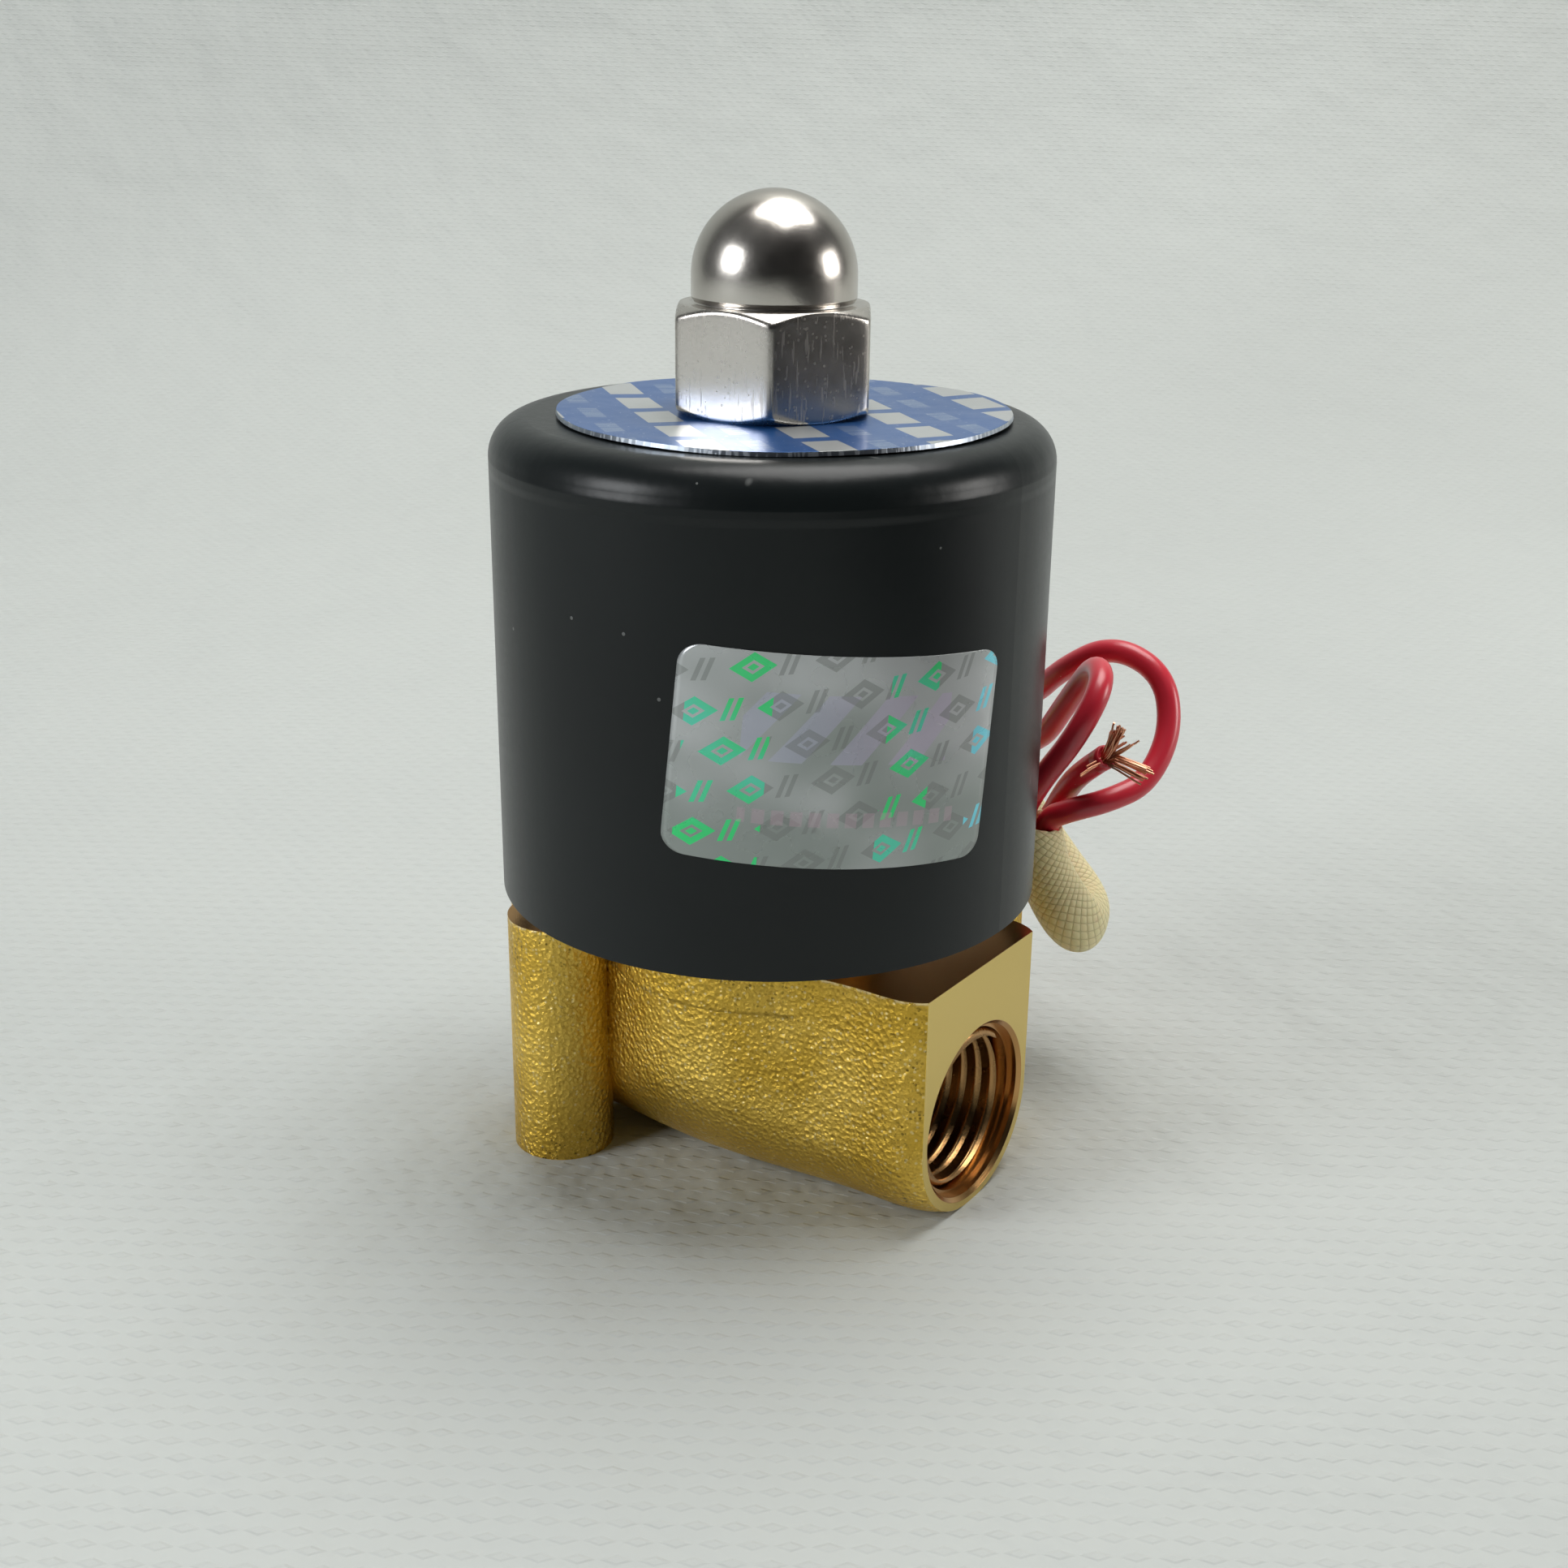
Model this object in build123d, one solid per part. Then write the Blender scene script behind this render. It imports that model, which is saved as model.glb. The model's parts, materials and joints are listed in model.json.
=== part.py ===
"""Small direct-acting solenoid valve: forged brass body, round encapsulated coil, domed nut and two leads.

Units are millimetres. +Z is up and +X runs along the flow to the port that the name plate faces.
The origin is on the stem's axis, at the level that the body's feet stand on.
"""

import os
from math import cos, pi, radians, sin, sqrt, tan

from build123d import *

# ---- body ----
outlet_reach = 19.8
inlet_reach = 20.6
body_top = 20.2
bar_half_width = 8.9
bar_bottom_half_flat = 1.9
port_face_half_width = 7.9
port_face_half_flat = 0.5
taper_length = 4.5
belly_half_width = 12.0
belly_half_length = 14.0
belly_sections = 7
rim_radius = 12.8
rim_height = 3.6
foot_radius = 4.05
foot_along = 12.6
foot_across = 11.1
foot_hole_radius = 1.65
foot_hole_depth = 7.0

# ---- ports, G 1/4 ----
port_height = 7.8
port_major_radius = 6.58
port_thread_length = 10.5
port_chamfer_radius = 7.3
port_ring_radius = 7.0
port_ring_depth = 0.9
passage_radius = 2.6

# ---- chamber and seat ----
chamber_radius = 8.6
chamber_floor = 11.6
seat_radius = 2.4
seat_top = 13.6
orifice_radius = 1.25
inlet_hole_radius = 1.4
inlet_hole_place = 6.2

# ---- bonnet and armature tube ----
bonnet_length = 5.0
bonnet_top_radius = 9.6
coil_seat = 23.8
tube_flange_thickness = 1.0
tube_flange_radius = 8.3
tube_outer_radius = 6.5
tube_inner_radius = 6.05
tube_top = 57.2
seal_ring_section = 1.8

# ---- fixed core, plunger and spring ----
core_length = 13.0
core_clearance = 0.02
stud_radius = 3.9
stud_top = 69.4
plunger_clearance = 0.08
plunger_lift = 2.0
plunger_gap = 0.1
plunger_slot_depth = 0.8
plunger_seal_radius = 3.6
plunger_seal_thickness = 2.4
spring_radius = 2.6
spring_wire_radius = 0.3
spring_pocket_radius = 3.1
spring_pocket_depth = 10.0
spring_turns = 8
shading_ring_radius = 4.4
shading_ring_section = 1.0

# ---- coil ----
can_radius = 21.0
can_bottom = 23.3
can_top = 59.6
can_wall = 1.2
can_round = 2.8
can_stem_clearance = 0.15
bottom_plate_thickness = 1.6
bobbin_wall = 1.0
bobbin_clearance = 0.2
bobbin_flange_radius = 17.4
bobbin_flange_thickness = 1.4
winding_radius = 15.6
tape_thickness = 0.35

# ---- name plate, sticker and nut ----
plate_radius = 16.8
plate_thickness = 0.3
plate_shift = (0.9, 0.2)
sticker_thickness = 0.08
sticker_angle = -41.0
sticker_height = 39.3
sticker_width = 23.0
sticker_depth = 15.2
sticker_corner = 1.5
sticker_tilt = -5.0
nut_flats = 14.0
nut_hex_height = 7.8
nut_dome_radius = 6.05
nut_height = 15.8
nut_chamfer = 0.7
nut_chamfer_reach = 1.1
nut_turn = 3.5
nut_wall_above_stud = 1.6
thread_clearance = 0.06
nut_ring_section = 1.2

# ---- leads ----
lead_heading = 35.0
lead_radius = 1.0
lead_spacing = 1.08
lead_side_direction = (0.8, -0.4, 0.45)
lead_bend_share = 0.45
sleeve_outer_radius = 2.3
sleeve_inner_radius = 2.08
grommet_turn = 50.0
grommet_height = 28.6
grommet_hole_radius = 2.7
grommet_flange_radius = 3.7
grommet_flange_thickness = 1.0
strand_radius = 0.75
strand_length = 4.5
straight_out = 5.2
splice_depth = 2.6
splice_length = 1.6

# The sleeve's bends and mouth, and each lead's own route from the mouth on, as (outwards, back, up) with
# outwards along lead_heading and back at a right angle to it. The sleeve doubles back at its lowest points.
sleeve_route = [
    (20.5, 19.6, 23.8),
    (25.0, 17.3, 18.0),
    (27.9, 13.4, 14.4),
    (26.4, 9.0, 14.2),
    (23.3, 9.6, 19.4),
]
sleeve_mouth = (22.3, 9.4, 23.6)
small_loop_route = [
    (21.2, 9.8, 24.2),
    (22.2, 6.4, 28.6),
    (24.7, 4.1, 33.4),
    (26.8, 5.4, 37.4),
    (26.9, 10.2, 37.8),
    (25.4, 14.2, 33.2),
    (23.8, 17.6, 28.4),
    (21.6, 22.2, 26.6),
    (17.2, 25.0, 25.2),
    (11.5, 24.6, 21.6),
    (5.0, 24.2, 21.6),
    (0.2, 23.5, 26.4),
    (0.8, 23.1, 32.8),
    (6.2, 22.8, 37.0),
]
large_loop_route = [
    (23.1, 9.0, 24.3),
    (25.0, 6.8, 26.0),
    (28.0, 6.4, 27.0),
    (31.4, 8.0, 28.0),
    (33.6, 10.4, 31.8),
    (33.0, 12.4, 36.2),
    (29.0, 14.8, 38.0),
    (25.3, 17.8, 35.0),
    (23.2, 21.8, 31.0),
    (18.5, 26.0, 29.0),
    (12.0, 27.6, 26.6),
    (6.4, 27.5, 21.8),
    (6.8, 27.1, 15.6),
    (12.2, 24.2, 12.8),
    (17.6, 18.8, 14.4),
    (21.2, 14.6, 18.6),
    (24.0, 12.6, 22.6),
    (24.9, 10.4, 26.2),
    (25.7, 7.2, 29.2),
    (27.2, 4.9, 31.3),
]

# A shape's place when it stands on its own base.
on_base = (Align.CENTER, Align.CENTER, Align.MIN)


def place(outwards, back, up):
    """The point in the model's own axes for a point given along the leads' heading."""
    turn = radians(lead_heading)
    return Vector(outwards * cos(turn) - back * sin(turn), outwards * sin(turn) + back * cos(turn), up)


def disc(radius, bottom, top, hole=0.0):
    """An upright cylinder on the stem's axis, with a hole through it if asked."""
    shape = Pos(0, 0, bottom) * Cylinder(radius, top - bottom, align=on_base)
    if hole > 0:
        shape -= Pos(0, 0, bottom) * Cylinder(hole, top - bottom, align=on_base)
    return shape


def upright(radius, x, y, bottom, top):
    return Pos(x, y, 0) * disc(radius, bottom, top)


def level(radius, start, end, height):
    """A cylinder along X from start to end."""
    middle = (start + end) / 2
    return Pos(middle, 0, height) * Rot(0, 90, 0) * Cylinder(radius, abs(end - start))


# ---------------------------------------------------------------- body


def bar_section(x, half_width, flat):
    """The bar's outline across the flow: square at the top, well rounded each side of a narrow flat."""
    corner = half_width - flat
    outline = Polyline(
        (-half_width, corner),
        (-half_width, body_top),
        (half_width, body_top),
        (half_width, corner),
    )
    right = CenterArc((flat, corner), corner, 0, -90)
    left = CenterArc((-flat, corner), corner, 270, -90)
    base = Line((flat, 0), (-flat, 0))
    plane = Plane(origin=(x, 0, 0), x_dir=(0, 1, 0), z_dir=(1, 0, 0))
    return plane * make_face(outline + right + base + left)


def bar():
    """The bar from port to port: it swells round the chamber and is drawn in at both ends."""
    sections = [bar_section(-inlet_reach, port_face_half_width, port_face_half_flat)]
    sections.append(bar_section(taper_length - inlet_reach, bar_half_width, bar_bottom_half_flat))
    for step in range(belly_sections):
        share = 2 * step / (belly_sections - 1) - 1
        swelling = (belly_half_width - bar_half_width) * cos(share * pi / 2) ** 2
        half_width = bar_half_width + swelling
        sections.append(bar_section(share * belly_half_length, half_width, bar_bottom_half_flat))
    sections.append(bar_section(outlet_reach - taper_length, bar_half_width, bar_bottom_half_flat))
    sections.append(bar_section(outlet_reach, port_face_half_width, port_face_half_flat))
    return loft(sections)


def rim():
    """The round rim at the top of the chamber, under the coil."""
    return disc(rim_radius, body_top - rim_height, body_top)


def feet():
    """The two feet on opposite corners, with their tapped holes."""
    shape = Part()
    for side in (-1, 1):
        shape += upright(foot_radius, side * foot_along, side * foot_across, 0, body_top)
    return shape


def foot_holes():
    shape = Part()
    for side in (-1, 1):
        shape += upright(foot_hole_radius, side * foot_along, side * foot_across, 0, foot_hole_depth)
    return shape


def port_cut(side, reach):
    """One port's thread bore, its relief ring and its mouth chamfer."""
    end = side * reach
    floor = end - side * port_thread_length
    shape = level(port_major_radius, floor, end, port_height)
    shape += level(port_ring_radius, end - side * port_ring_depth, end, port_height)
    chamfer_depth = port_chamfer_radius - port_ring_radius
    mouth = Cone(port_chamfer_radius, port_ring_radius, chamfer_depth, align=on_base)
    shape += Pos(end, 0, port_height) * Rot(0, -90 * side, 0) * mouth
    return shape


def passages():
    """The outlet's passage to the orifice, and the inlet's passage up to the chamber round the seat."""
    outlet = level(passage_radius, -orifice_radius, outlet_reach - port_thread_length, port_height)
    orifice = disc(orifice_radius, port_height, seat_top)
    inlet_end = port_thread_length - inlet_reach
    inlet = level(passage_radius, inlet_end, -inlet_hole_place + inlet_hole_radius, port_height)
    riser = upright(inlet_hole_radius, -inlet_hole_place, 0, port_height, chamber_floor)
    return outlet + orifice + inlet + riser


def valve_body():
    shape = bar() + rim() + feet()
    shape -= disc(chamber_radius, chamber_floor, body_top)
    shape += disc(seat_radius, chamber_floor, seat_top)
    shape -= passages()
    shape -= port_cut(1, outlet_reach) + port_cut(-1, inlet_reach)
    return shape - foot_holes()


# ---------------------------------------------------------------- bonnet and armature tube


def tube_flange_bottom():
    return body_top - bonnet_length - tube_flange_thickness


def bonnet_collar():
    """The screwed collar that holds the tube's flange down and carries the coil."""
    hole = tube_outer_radius + core_clearance
    screwed = disc(chamber_radius, body_top - bonnet_length, body_top, hole)
    head = disc(bonnet_top_radius, body_top, coil_seat, hole)
    return screwed + head


def guide_tube():
    bottom = tube_flange_bottom()
    flange = disc(tube_flange_radius, bottom, bottom + tube_flange_thickness)
    tube = disc(tube_outer_radius, bottom, tube_top)
    return flange + tube - disc(tube_inner_radius, bottom, tube_top)


def bonnet_seal():
    """The ring between the tube's flange and the chamber's wall, pressed flat by the collar."""
    middle = chamber_radius - seal_ring_section / 2
    height = tube_flange_bottom() - seal_ring_section / 2
    return Pos(0, 0, height) * Torus(middle, seal_ring_section / 2)


def core_bottom():
    return tube_top - core_length


def fixed_core():
    """The fixed core at the tube's top, with the stud for the nut and a groove for the shading ring."""
    core = disc(tube_inner_radius - core_clearance, core_bottom(), tube_top)
    stud = disc(stud_radius, tube_top, stud_top)
    outer = shading_ring_radius + shading_ring_section / 2
    groove = disc(outer, core_bottom(), core_bottom() + shading_ring_section, outer - shading_ring_section)
    return core + stud - groove


def shading_ring():
    outer = shading_ring_radius + shading_ring_section / 2
    return disc(outer, core_bottom(), core_bottom() + shading_ring_section, outer - shading_ring_section)


# ---------------------------------------------------------------- plunger


def plunger_top():
    return core_bottom() - plunger_lift - plunger_gap


def plunger():
    radius = tube_inner_radius - plunger_clearance
    shape = disc(radius, seat_top, plunger_top())
    shape -= disc(plunger_seal_radius, seat_top, seat_top + plunger_seal_thickness)
    shape -= disc(spring_pocket_radius, plunger_top() - spring_pocket_depth, plunger_top())
    slot_width = 2 * plunger_slot_depth
    slot = Pos(radius, 0, seat_top) * Box(slot_width, slot_width, plunger_top() - seat_top, align=on_base)
    for turn in (0, 180):
        shape -= Rot(0, 0, turn) * slot
    return shape


def plunger_seal():
    return disc(plunger_seal_radius, seat_top, seat_top + plunger_seal_thickness)


def plunger_spring():
    """The return spring, a helix between the plunger's pocket and the fixed core."""
    bottom = plunger_top() - spring_pocket_depth + spring_wire_radius
    height = core_bottom() - spring_wire_radius - bottom
    path = Helix(height / spring_turns, height, spring_radius)
    section = Plane(origin=path @ 0, z_dir=path % 0) * Circle(spring_wire_radius)
    return Pos(0, 0, bottom) * sweep(section, path)


# ---------------------------------------------------------------- coil


def grommet_axis():
    """The direction that the leads leave the can in, in degrees from +X."""
    return lead_heading + grommet_turn


def radial(shape, height):
    """Lays a shape built along +Z out from the stem's axis, along the leads' exit."""
    return Pos(0, 0, height) * Rot(0, 0, grommet_axis()) * Rot(0, 90, 0) * shape


def coil_can():
    """The drawn steel can: closed at the top but for the stud's hole, open at the bottom."""
    shape = disc(can_radius, can_bottom, can_top)
    shape = fillet(shape.edges().group_by(Axis.Z)[-1], can_round)
    shape -= disc(can_radius - can_wall, can_bottom, can_top - can_wall)
    shape -= disc(stud_radius + can_stem_clearance, can_top - can_wall, can_top)
    hole = Cylinder(grommet_hole_radius, can_radius + 1, align=on_base)
    return shape - radial(hole, grommet_height)


def coil_bottom_plate():
    return disc(
        can_radius - can_wall,
        coil_seat,
        coil_seat + bottom_plate_thickness,
        tube_outer_radius + can_stem_clearance,
    )


def bobbin_bottom():
    return coil_seat + bottom_plate_thickness


def bobbin_top():
    return can_top - can_wall


def bobbin():
    inner = tube_outer_radius + bobbin_clearance
    shape = disc(inner + bobbin_wall, bobbin_bottom(), bobbin_top())
    shape += disc(bobbin_flange_radius, bobbin_bottom(), bobbin_bottom() + bobbin_flange_thickness)
    shape += disc(bobbin_flange_radius, bobbin_top() - bobbin_flange_thickness, bobbin_top())
    return shape - disc(inner, bobbin_bottom(), bobbin_top())


def wound_height():
    return bobbin_bottom() + bobbin_flange_thickness, bobbin_top() - bobbin_flange_thickness


def copper_winding():
    bottom, top = wound_height()
    return disc(winding_radius, bottom, top, tube_outer_radius + bobbin_clearance + bobbin_wall)


def winding_tape():
    bottom, top = wound_height()
    return disc(winding_radius + tape_thickness, bottom, top, winding_radius)


def lead_splices():
    """The two crimped joints, side by side in the resin, where the winding's ends meet the leads."""
    shape = Part()
    for path in (small_loop_path(), large_loop_path()):
        plane = Plane(origin=path @ 0, z_dir=path % 0)
        shape += extrude(plane * Circle(lead_radius), amount=-splice_length)
    return shape


def lead_channels():
    """The room that the leads and their splices take in the resin and the grommet."""
    shape = lead_splices()
    for path in (small_loop_path(), large_loop_path()):
        shape += tube_along(path, lead_radius)
    return shape


def resin_fill():
    """The resin between the winding and the can, cast round the leads' inner ends."""
    inside = can_radius - can_wall
    bottom, top = wound_height()
    shape = disc(inside, bobbin_bottom(), bobbin_top(), bobbin_flange_radius)
    shape += disc(inside, bottom, top, winding_radius + tape_thickness)
    return shape - radial(grommet_solid(), grommet_height) - lead_channels()


def grommet_solid():
    """The grommet's outer shape, along +Z, from inside the can's wall to its outer flange."""
    seat = can_radius - can_wall
    body = Pos(0, 0, seat - grommet_flange_thickness) * Cylinder(
        grommet_hole_radius,
        can_wall + 2 * grommet_flange_thickness,
        align=on_base,
    )
    flange = Pos(0, 0, can_radius) * Cylinder(
        grommet_flange_radius, grommet_flange_thickness, align=on_base
    )
    return body + flange


def lead_grommet():
    shape = radial(grommet_solid(), grommet_height)
    wall = disc(can_radius, can_bottom, can_top, can_radius - can_wall)
    hole = Cylinder(grommet_hole_radius, 2 * can_radius, align=on_base)
    shape -= wall - radial(hole, grommet_height)
    return shape - lead_channels()


def hologram_sticker():
    """A rounded patch that follows the can's side, stuck on a little askew."""
    shell = disc(can_radius + sticker_thickness, can_bottom, can_top, can_radius)
    patch = Rot(0, 0, sticker_tilt) * RectangleRounded(sticker_depth, sticker_width, sticker_corner)
    block = Pos(0, 0, sticker_height) * Rot(0, 90, 0) * extrude(patch, amount=2 * can_radius)
    return Rot(0, 0, sticker_angle) * (shell & block)


def name_plate():
    """The thin round plate under the nut, a little off centre, its hole clear of the stud."""
    shape = Pos(*plate_shift, 0) * disc(plate_radius, can_top, can_top + plate_thickness)
    hole_radius = stud_radius + Vector(*plate_shift).length + can_stem_clearance
    return shape - Pos(*plate_shift, 0) * disc(hole_radius, can_top, can_top + plate_thickness)


# ---------------------------------------------------------------- nut


def nut_bottom():
    return can_top + plate_thickness


def cap_nut():
    """The domed nut: a hexagon chamfered above and below, and a dome over the stud."""
    bottom = nut_bottom()
    hexagon = extrude(RegularPolygon(nut_flats / 2, 6, major_radius=False), amount=nut_hex_height)
    across_corners = nut_flats / sqrt(3)
    bevel = Cylinder(across_corners, nut_hex_height, align=on_base)
    bevel = chamfer(bevel.edges().filter_by(GeomType.CIRCLE), nut_chamfer, nut_chamfer_reach)
    shape = Pos(0, 0, bottom) * Rot(0, 0, nut_turn) * (hexagon & bevel)
    dome_centre = bottom + nut_height - nut_dome_radius
    shape += disc(nut_dome_radius, bottom + nut_hex_height - nut_chamfer, dome_centre)
    shape += Pos(0, 0, dome_centre) * Sphere(nut_dome_radius)
    bore_top = stud_top + nut_wall_above_stud
    bore = stud_radius + thread_clearance
    shape -= disc(bore, bottom, bore_top)
    return shape - disc(bore + nut_ring_section, bottom, bottom + nut_ring_section)


def nut_seal_ring():
    """The soft ring in the nut's underside, which seals the stud's hole."""
    inner = stud_radius + thread_clearance
    return disc(inner + nut_ring_section, nut_bottom(), nut_bottom() + nut_ring_section, inner)


# ---------------------------------------------------------------- leads


def bend_radii(points):
    """Each corner's radius: a share of its shorter run, over the tangent of half its turn."""
    radii = []
    for before, corner, after in zip(points, points[1:], points[2:]):
        turn = (corner - before).get_angle(after - corner)
        shorter = min((corner - before).length, (after - corner).length)
        radii.append(lead_bend_share * shorter / tan(radians(turn) / 2))
    return radii


def smooth_path(points):
    return FilletPolyline(*points, radius=bend_radii(points))


def exit_point(radius, offset):
    """A point on the leads' exit at a distance from the stem's axis, shifted to one side of it."""
    turn = radians(grommet_turn)
    return place(radius * cos(turn), radius * sin(turn), grommet_height) + offset


def side_step(side):
    """The shift from the sleeve's middle to one of the two leads that lie side by side in it."""
    return place(*lead_side_direction).normalized() * (side * lead_spacing)


def lead_points(side, route):
    """A lead's corners: from its splice, through the sleeve and on along its own route."""
    offset = side_step(side)
    splice = exit_point(can_radius - splice_depth, offset)
    first_bend = exit_point(can_radius + straight_out, offset)
    in_sleeve = [place(*point) + offset for point in sleeve_route]
    return [splice, first_bend] + in_sleeve + [place(*point) for point in route]


def small_loop_path():
    return smooth_path(lead_points(-1, small_loop_route))


def large_loop_path():
    return smooth_path(lead_points(1, large_loop_route))


def tube_along(path, radius, hole=0.0):
    plane = Plane(origin=path @ 0, z_dir=path % 0)
    shape = sweep(plane * Circle(radius), path)
    if hole > 0:
        shape -= sweep(plane * Circle(hole), path)
    return shape


def lead_sleeve():
    middle = Vector(0, 0, 0)
    start = exit_point(can_radius + grommet_flange_thickness, middle)
    straight = [start, exit_point(can_radius + straight_out, middle)]
    points = straight + [place(*point) for point in sleeve_route + [sleeve_mouth]]
    return tube_along(smooth_path(points), sleeve_outer_radius, sleeve_inner_radius)


def bare_end(path):
    """The stripped strands at a lead's far end, as one plain solid."""
    plane = Plane(origin=path @ 1, z_dir=path % 1)
    return extrude(plane * Circle(strand_radius), amount=strand_length)


# ---------------------------------------------------------------- writing

small_loop = small_loop_path()
large_loop = large_loop_path()

parts = {
    "valve_body": valve_body(),
    "bonnet_collar": bonnet_collar(),
    "guide_tube": guide_tube(),
    "bonnet_seal": bonnet_seal(),
    "fixed_core": fixed_core(),
    "shading_ring": shading_ring(),
    "plunger": plunger(),
    "plunger_seal": plunger_seal(),
    "plunger_spring": plunger_spring(),
    "coil_can": coil_can(),
    "coil_bottom_plate": coil_bottom_plate(),
    "bobbin": bobbin(),
    "copper_winding": copper_winding(),
    "winding_tape": winding_tape(),
    "resin_fill": resin_fill(),
    "lead_splices": lead_splices(),
    "lead_grommet": lead_grommet(),
    "name_plate": name_plate(),
    "hologram_sticker": hologram_sticker(),
    "cap_nut": cap_nut(),
    "nut_seal_ring": nut_seal_ring(),
    "lead_sleeve": lead_sleeve(),
    "lead_a": tube_along(small_loop, lead_radius),
    "lead_b": tube_along(large_loop, lead_radius),
    "lead_a_strands": bare_end(small_loop),
    "lead_b_strands": bare_end(large_loop),
}

os.makedirs("parts", exist_ok=True)
for name, shape in parts.items():
    export_step(shape, f"parts/{name}.step")

for name, side, route, path in (
    ("lead_a", -1, small_loop_route, small_loop),
    ("lead_b", 1, large_loop_route, large_loop),
):
    radii = [round(radius, 1) for radius in bend_radii(lead_points(side, route))]
    swept = pi * lead_radius**2 * path.length
    share = round(parts[name].volume / swept, 4)
    print(name, "length", round(path.length, 1), "radii", radii, "volume ratio", share)
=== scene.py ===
"""Solenoid valve: brass body, black coil can, domed nut, name plate, foil label and two red leads."""
import json
import math

import bpy
from mathutils import Matrix, Vector, noise


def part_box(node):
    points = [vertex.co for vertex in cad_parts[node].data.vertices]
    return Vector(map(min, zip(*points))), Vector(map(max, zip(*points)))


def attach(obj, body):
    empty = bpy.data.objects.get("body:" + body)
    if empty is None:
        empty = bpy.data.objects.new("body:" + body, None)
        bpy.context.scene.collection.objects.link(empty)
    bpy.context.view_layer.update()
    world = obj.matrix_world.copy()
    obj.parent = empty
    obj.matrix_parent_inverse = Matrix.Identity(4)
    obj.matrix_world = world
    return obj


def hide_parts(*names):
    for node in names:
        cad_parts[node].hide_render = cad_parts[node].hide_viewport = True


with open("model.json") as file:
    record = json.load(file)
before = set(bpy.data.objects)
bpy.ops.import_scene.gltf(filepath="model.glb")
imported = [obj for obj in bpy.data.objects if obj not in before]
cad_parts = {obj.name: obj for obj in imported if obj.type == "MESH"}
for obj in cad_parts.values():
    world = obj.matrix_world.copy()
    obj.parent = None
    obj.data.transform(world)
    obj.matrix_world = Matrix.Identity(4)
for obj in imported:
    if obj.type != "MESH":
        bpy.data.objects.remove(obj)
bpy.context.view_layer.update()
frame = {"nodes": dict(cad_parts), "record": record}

mm = 0.001

# ---------------------------------------------------------------- places read from the frame

mounts = {mount["name"]: mount for mount in frame["record"]["mounts"]}
body_low, body_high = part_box("valve_body")
can_low, can_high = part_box("coil_can")
nut_low, nut_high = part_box("cap_nut")
plate_low, plate_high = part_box("name_plate")
core_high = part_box("fixed_core")[1]
can_radius = (can_high.x - can_low.x) / 2
can_top = can_high.z
port_height = mounts["port_outlet"]["pos_m"][2]
port_wall = mounts["port_outlet"]["dims"]["r_mm"] * mm
rim_step = body_high.z - 3.6 * mm
nut_hex_height = 7.8 * mm
stud_pitch = 1.25 * mm

# ---------------------------------------------------------------- small helpers


def link_object(name, data):
    obj = bpy.data.objects.new(name, data)
    bpy.context.scene.collection.objects.link(obj)
    return obj


def mesh_object(name, points, faces, materials, smooth=True):
    mesh = bpy.data.meshes.new(name)
    mesh.from_pydata(points, [], faces)
    mesh.validate()
    for face in mesh.polygons:
        face.use_smooth = smooth
    for material in materials:
        mesh.materials.append(material)
    return link_object(name, mesh)


def plain_mesh(obj, name):
    """The evaluated object as a new plain mesh object, with the old object gone."""
    bpy.context.view_layer.update()
    evaluated = obj.evaluated_get(bpy.context.evaluated_depsgraph_get())
    mesh = bpy.data.meshes.new_from_object(evaluated)
    mesh.name = name
    bpy.data.objects.remove(obj)
    return link_object(name, mesh)


def ease(low, high, value):
    """0 below low, 1 above high, and smooth in between."""
    share = min(max((value - low) / (high - low), 0.0), 1.0)
    return share * share * (3 - 2 * share)


def add(tree, kind, inputs=None, **settings):
    """A node with its settings, and each input set to a value or joined to an output."""
    node = tree.nodes.new(kind)
    for key, value in settings.items():
        setattr(node, key, value)
    for key, value in (inputs or {}).items():
        if isinstance(value, bpy.types.NodeSocket):
            tree.links.new(value, node.inputs[key])
        else:
            node.inputs[key].default_value = value
    return node


def calc(tree, operation, first, second=0.0, third=0.0):
    family = "ShaderNodeMath"
    return add(tree, family, {0: first, 1: second, 2: third}, operation=operation).outputs[0]


def ramp(tree, value, low, high):
    """0 to 1 as the value goes from low to high, smooth at both ends."""
    inputs = {"Value": value, "From Min": low, "From Max": high}
    return add(tree, "ShaderNodeMapRange", inputs, interpolation_type="SMOOTHSTEP").outputs[0]


def inside(tree, value, low, high):
    """1 where the value is between low and high, 0 elsewhere."""
    above = calc(tree, "GREATER_THAN", value, low)
    return calc(tree, "MULTIPLY", above, calc(tree, "LESS_THAN", value, high))


def blend_colour(tree, factor, first, second, blend_type="MIX"):
    node = tree.nodes.new("ShaderNodeMix")
    node.data_type = "RGBA"
    node.blend_type = blend_type
    for socket, value in ((node.inputs[0], factor), (node.inputs[6], first), (node.inputs[7], second)):
        if isinstance(value, bpy.types.NodeSocket):
            tree.links.new(value, socket)
        else:
            socket.default_value = value
    return node.outputs[2]


def rgb(red, green, blue):
    return (red, green, blue, 1.0)


# ---------------------------------------------------------------- shader groups that the finishes share


def new_group(name, inputs, outputs):
    """An empty shader group with named inputs and outputs, and its two end nodes."""
    tree = bpy.data.node_groups.new(name, "ShaderNodeTree")
    for label, kind, value in inputs:
        socket = tree.interface.new_socket(label, in_out="INPUT", socket_type="NodeSocket" + kind)
        if value is not None:
            socket.default_value = value
    for label, kind in outputs:
        tree.interface.new_socket(label, in_out="OUTPUT", socket_type="NodeSocket" + kind)
    return tree, tree.nodes.new("NodeGroupInput").outputs, tree.nodes.new("NodeGroupOutput").inputs


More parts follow.
